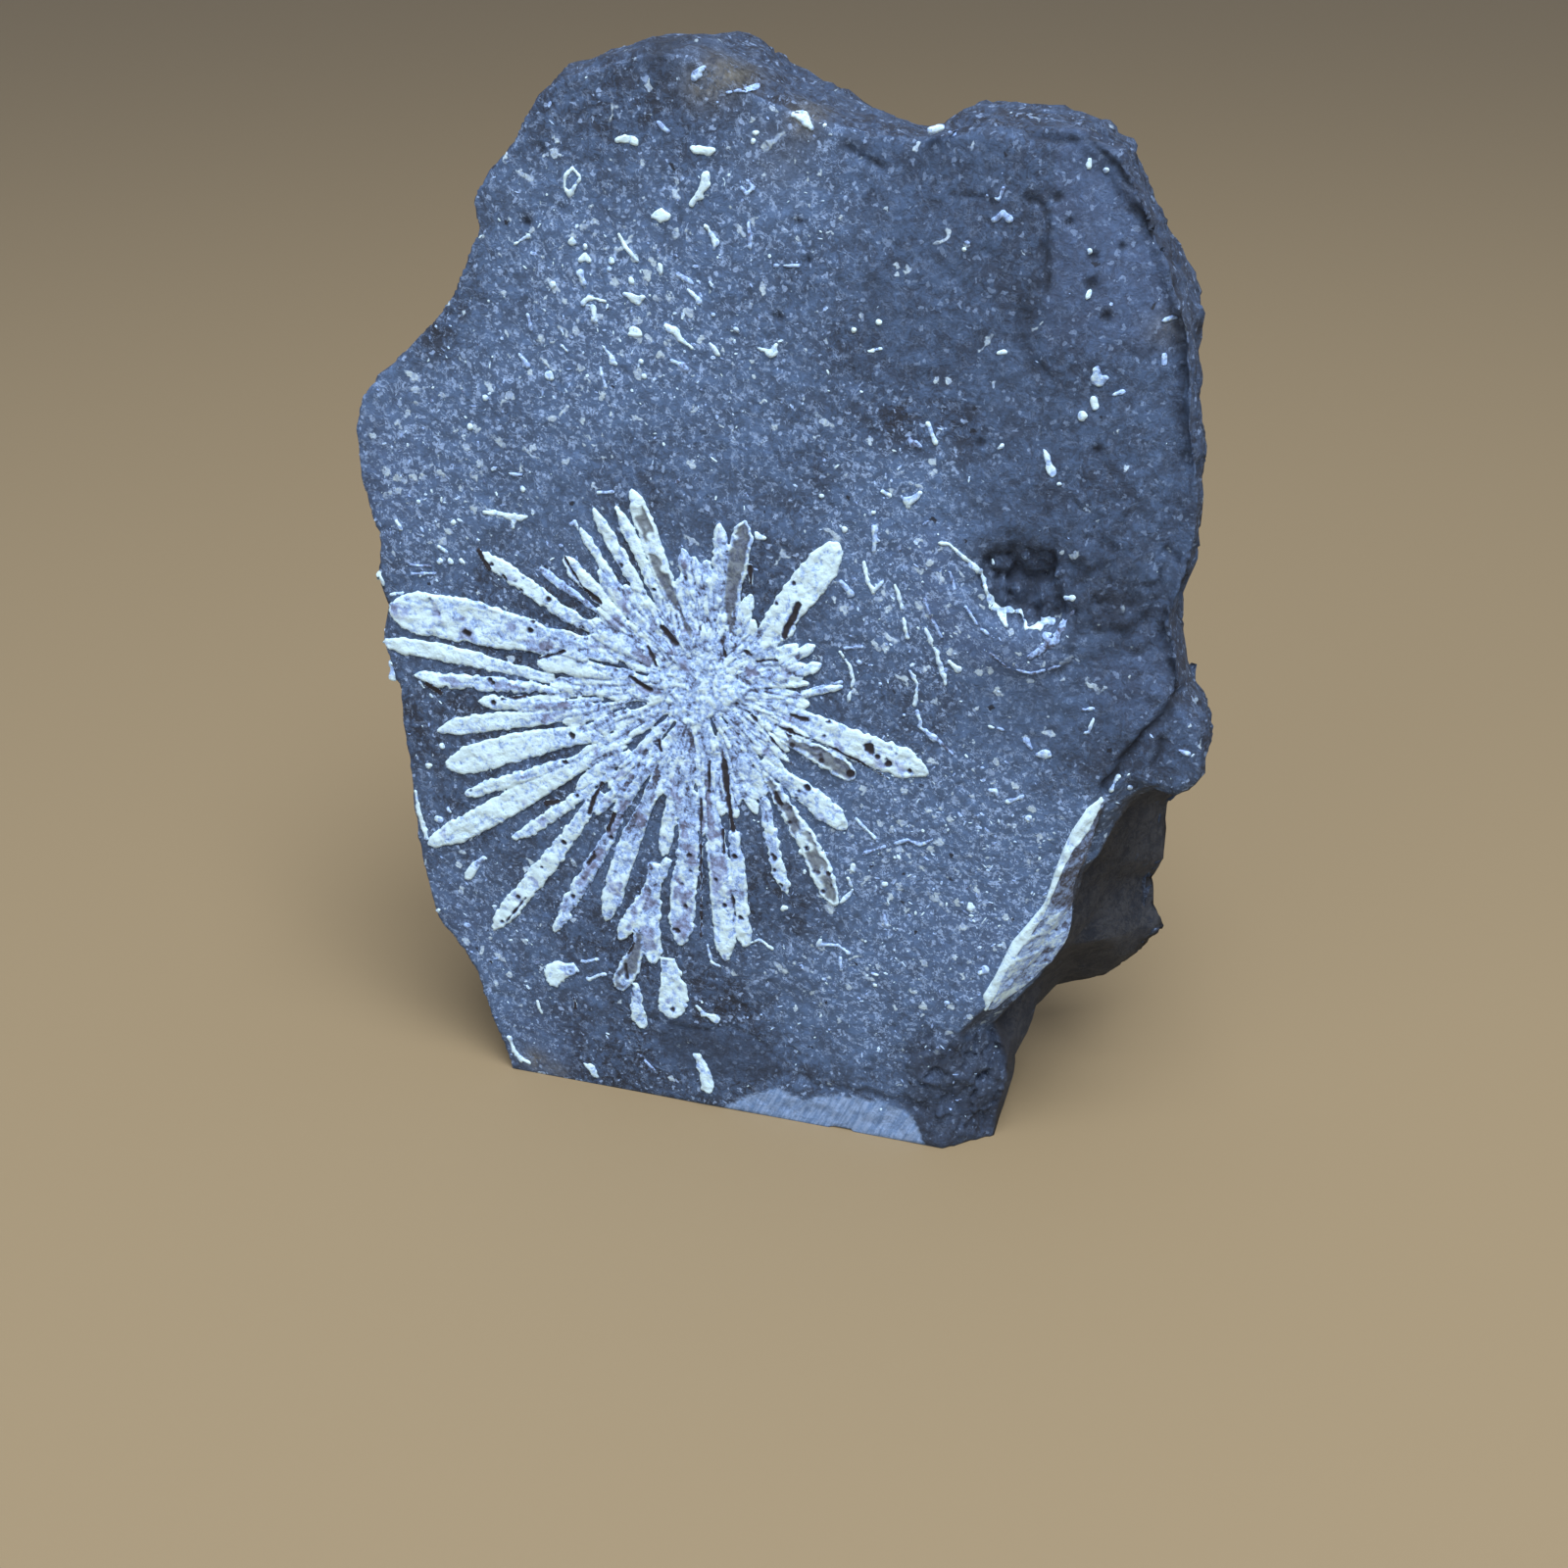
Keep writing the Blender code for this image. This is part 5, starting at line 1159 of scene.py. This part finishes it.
lift = lift + 0.1 * grain(skin, 1.4, 301) + 0.06 * grain(skin, 0.6, 302)
_, _, cleaved = cells(skin * (0.6, 1, 1), 1.8, 303)
lift += np.where(on_ribbon, 0.0, 0.14 * cleaved)
at_border = (share == 0) | (share == rows_count - 1) | (station == 0) | (station == 1)
lift = np.where(at_border, -0.12, lift)
lift = np.where((share == 1) | (share == rows_count - 2), np.minimum(lift, 0.2), lift)
outside, inside_points = np.empty_like(skin), np.empty_like(skin)
for index, point in enumerate(skin):
    met, normal, _, _ = slab_tree.find_nearest(Vector(point) * MM)
    normal = (normal + Vector((0.25, -0.5, 0))).normalized()
    outside[index] = np.array(met / MM + normal * lift[index])
    inside_points[index] = np.array(met / MM - normal * CRYSTAL_ROOT)
corner = np.arange(len(skin)).reshape(ALONG, rows_count)
round_cell = (corner[:-1, :-1], corner[1:, :-1], corner[1:, 1:], corner[:-1, 1:])
quads = np.stack(round_cell, axis=-1).reshape(-1, 4)
rim_loop = np.concatenate([corner[0, :-1], corner[:-1, -1], corner[-1, :0:-1], corner[:0:-1, 0]])
rim_next = np.roll(rim_loop, -1)
count = len(skin)
walls = np.stack([rim_loop, rim_next, rim_next + count, rim_loop + count], axis=1)
crystal_mesh = bpy.data.meshes.new("edge_crystal")
crystal_faces = np.concatenate([quads, quads[:, ::-1] + count, walls]).tolist()
crystal_mesh.from_pydata((np.concatenate([outside, inside_points]) * MM).tolist(), [], crystal_faces)
facing = bmesh.new()
facing.from_mesh(crystal_mesh)
bmesh.ops.recalc_face_normals(facing, faces=facing.faces)
facing.to_mesh(crystal_mesh)
facing.free()
side_white = 0.46 + 0.24 * grain(skin, 2.2, 304) + 0.22 * cleaved + 0.14 * ramp(station, 0.55, 0.7)
bare = ramp(-station, -0.60, -0.52)
side_white = side_white * (1 - bare) + bare * (0.30 + 0.15 * grain(skin, 1.2, 306))
on_side = np.where(on_ribbon, 0.0, 1.0)
crystal_white = np.where(on_ribbon, 1.0 + 0.06 * grain(skin, 0.8, 305), side_white)
paint(crystal_mesh, "white", np.tile(np.clip(crystal_white, 0.12, 1.1), 2))
paint(crystal_mesh, "hollow", np.tile(0.5 * bare * on_side, 2))
mend(crystal_mesh)
placed("edge_crystal", crystal_mesh, "calcite", calcite)


# Chips. Well over a thousand small flat bits of shell and spar, scattered thickest where the slab is
# rich in them. One tree of nodes sets them into the skin of the slab.
CHIPS_PER_SQUARE_METRE = 420000
CHIP_RADIUS = 0.26 * MM
CHIP_SIDES = 5
CHIP_SEED = 4
chip_tree = bpy.data.node_groups.new("scattered_chips", "GeometryNodeTree")
for name, kind, way in (
    ("Skin", "NodeSocketGeometry", "INPUT"), ("Crowding", "NodeSocketFloat", "INPUT"),
    ("Chip Radius", "NodeSocketFloat", "INPUT"), ("Seed", "NodeSocketInt", "INPUT"),
    ("Finish", "NodeSocketMaterial", "INPUT"), ("Chips", "NodeSocketGeometry", "OUTPUT"),
):
    chip_tree.interface.new_socket(name, in_out=way, socket_type=kind)


def chip_node(kind, links=None, **settings):
    """Adds a node to the chips' tree, sets its values and links its inputs by name."""
    made = chip_tree.nodes.new(kind)
    for name, value in settings.items():
        setattr(made, name, value)
    for name, value in (links or {}).items():
        socket = made.inputs[name]
        if isinstance(value, bpy.types.NodeSocket):
            chip_tree.links.new(value, socket)
        else:
            socket.default_value = value
    return made


def chip_random(kind, low, high, seed):
    """A random number or vector for each chip, between low and high."""
    made = chip_node("FunctionNodeRandomValue", data_type=kind)
    wanted = {"FLOAT_VECTOR": "VECTOR", "FLOAT": "VALUE"}[kind]
    ends = [s for s in made.inputs if s.type == wanted and s.enabled and s.name in ("Min", "Max")]
    ends[0].default_value, ends[1].default_value = low, high
    for socket in made.inputs:
        if socket.name == "Seed":
            socket.default_value = seed
    return [s for s in made.outputs if s.type == wanted and s.enabled][0]


given = chip_node("NodeGroupInput").outputs
crowd_node = chip_node("GeometryNodeInputNamedAttribute", {"Name": "crowd"}, data_type="FLOAT")
crowd_here = crowd_node.outputs["Attribute"]
crowding = chip_node("ShaderNodeMath", operation="MULTIPLY")
chip_tree.links.new(given["Crowding"], crowding.inputs[0])
chip_tree.links.new(crowd_here, crowding.inputs[1])
sown = chip_node(
    "GeometryNodeDistributePointsOnFaces",
    {"Mesh": given["Skin"], "Density": crowding.outputs[0], "Seed": given["Seed"]},
)
plate_shape = chip_node(
    "GeometryNodeMeshCone",
    {"Vertices": CHIP_SIDES, "Radius Top": 0.6, "Radius Bottom": 1.0, "Depth": 0.8},
    fill_type="NGON",
)
sunk = chip_node(
    "GeometryNodeTransform",
    {"Geometry": plate_shape.outputs["Mesh"], "Translation": (0, 0, -0.45)},
)
shape_scale = chip_random("FLOAT_VECTOR", (0.6, 0.3, 0.5), (1.9, 0.9, 0.8), 5)
size_chance = chip_node("ShaderNodeMath", operation="POWER")
chip_tree.links.new(chip_random("FLOAT", 0.5, 1.16, 6), size_chance.inputs[0])
size_chance.inputs[1].default_value = 3.0
sized = chip_node("ShaderNodeMath", operation="MULTIPLY")
chip_tree.links.new(size_chance.outputs[0], sized.inputs[0])
chip_tree.links.new(given["Chip Radius"], sized.inputs[1])
chip_scale = chip_node("ShaderNodeVectorMath", operation="SCALE")
chip_tree.links.new(shape_scale, chip_scale.inputs[0])
chip_tree.links.new(sized.outputs[0], chip_scale.inputs["Scale"])
spin = chip_node("ShaderNodeCombineXYZ", {"Z": chip_random("FLOAT", 0.0, 2 * math.pi, 7)})
spin_turn = chip_node("FunctionNodeEulerToRotation", {"Euler": spin.outputs[0]})
turned_chip = chip_node(
    "FunctionNodeRotateRotation",
    {"Rotation": sown.outputs["Rotation"], "Rotate By": spin_turn.outputs[0]},
    rotation_space="LOCAL",
)
set_in = chip_node(
    "GeometryNodeInstanceOnPoints",
    {
        "Points": sown.outputs["Points"], "Instance": sunk.outputs["Geometry"],
        "Rotation": turned_chip.outputs[0], "Scale": chip_scale.outputs[0],
    },
)
stored = chip_node(
    "GeometryNodeStoreNamedAttribute",
    {"Geometry": set_in.outputs["Instances"], "Name": "white", "Value": chip_random("FLOAT", 0.35, 1.0, 8)},
    data_type="FLOAT", domain="INSTANCE",
)
realized = chip_node("GeometryNodeRealizeInstances", {"Geometry": stored.outputs["Geometry"]})
finished = chip_node(
    "GeometryNodeSetMaterial", {"Geometry": realized.outputs["Geometry"], "Material": given["Finish"]}
)
chip_node("NodeGroupOutput", {"Chips": finished.outputs["Geometry"]})

skin_mesh = slab.data.copy()
x, _, z = (coordinates(skin_mesh) / MM).T
skin_paint = {}
for name in ("speckled", "calm", "dark", "broken"):
    skin_paint[name] = np.empty(len(x), np.float32)
    skin_mesh.attributes[name].data.foreach_get("value", skin_paint[name])
crowd = 0.10 + 0.9 * np.clip(skin_paint["speckled"], 0, 1) ** 1.5
crowd *= (
    (1 - 0.7 * skin_paint["calm"]) * (1 - np.clip(skin_paint["dark"], 0, 1))
    * (1 - skin_paint["broken"])
)
crowd *= np.where(point_normals(skin_mesh)[:, 1] < -0.6, 1.0, 0.12) * ramp(z, 3, 5)
paint(skin_mesh, "crowd", crowd)
chip_draft = bpy.data.objects.new("chip_draft", skin_mesh)
bpy.context.scene.collection.objects.link(chip_draft)
sowing = chip_draft.modifiers.new("chips", "NODES")
sowing.node_group = chip_tree
chip_values = {
    "Crowding": CHIPS_PER_SQUARE_METRE, "Chip Radius": CHIP_RADIUS, "Seed": CHIP_SEED, "Finish": calcite,
}
for item in chip_tree.interface.items_tree:
    if item.in_out == "INPUT" and item.name in chip_values:
        sowing[item.identifier] = chip_values[item.name]
chip_mesh = plain_copy(chip_draft)
bpy.data.objects.remove(chip_draft)
chip_mesh.materials.clear()
chip_mesh.polygons.foreach_set("material_index", [0] * len(chip_mesh.polygons))
placed("stone_chips", chip_mesh, "calcite", calcite)
chip_mesh.polygons.foreach_set("use_smooth", [False] * len(chip_mesh.polygons))
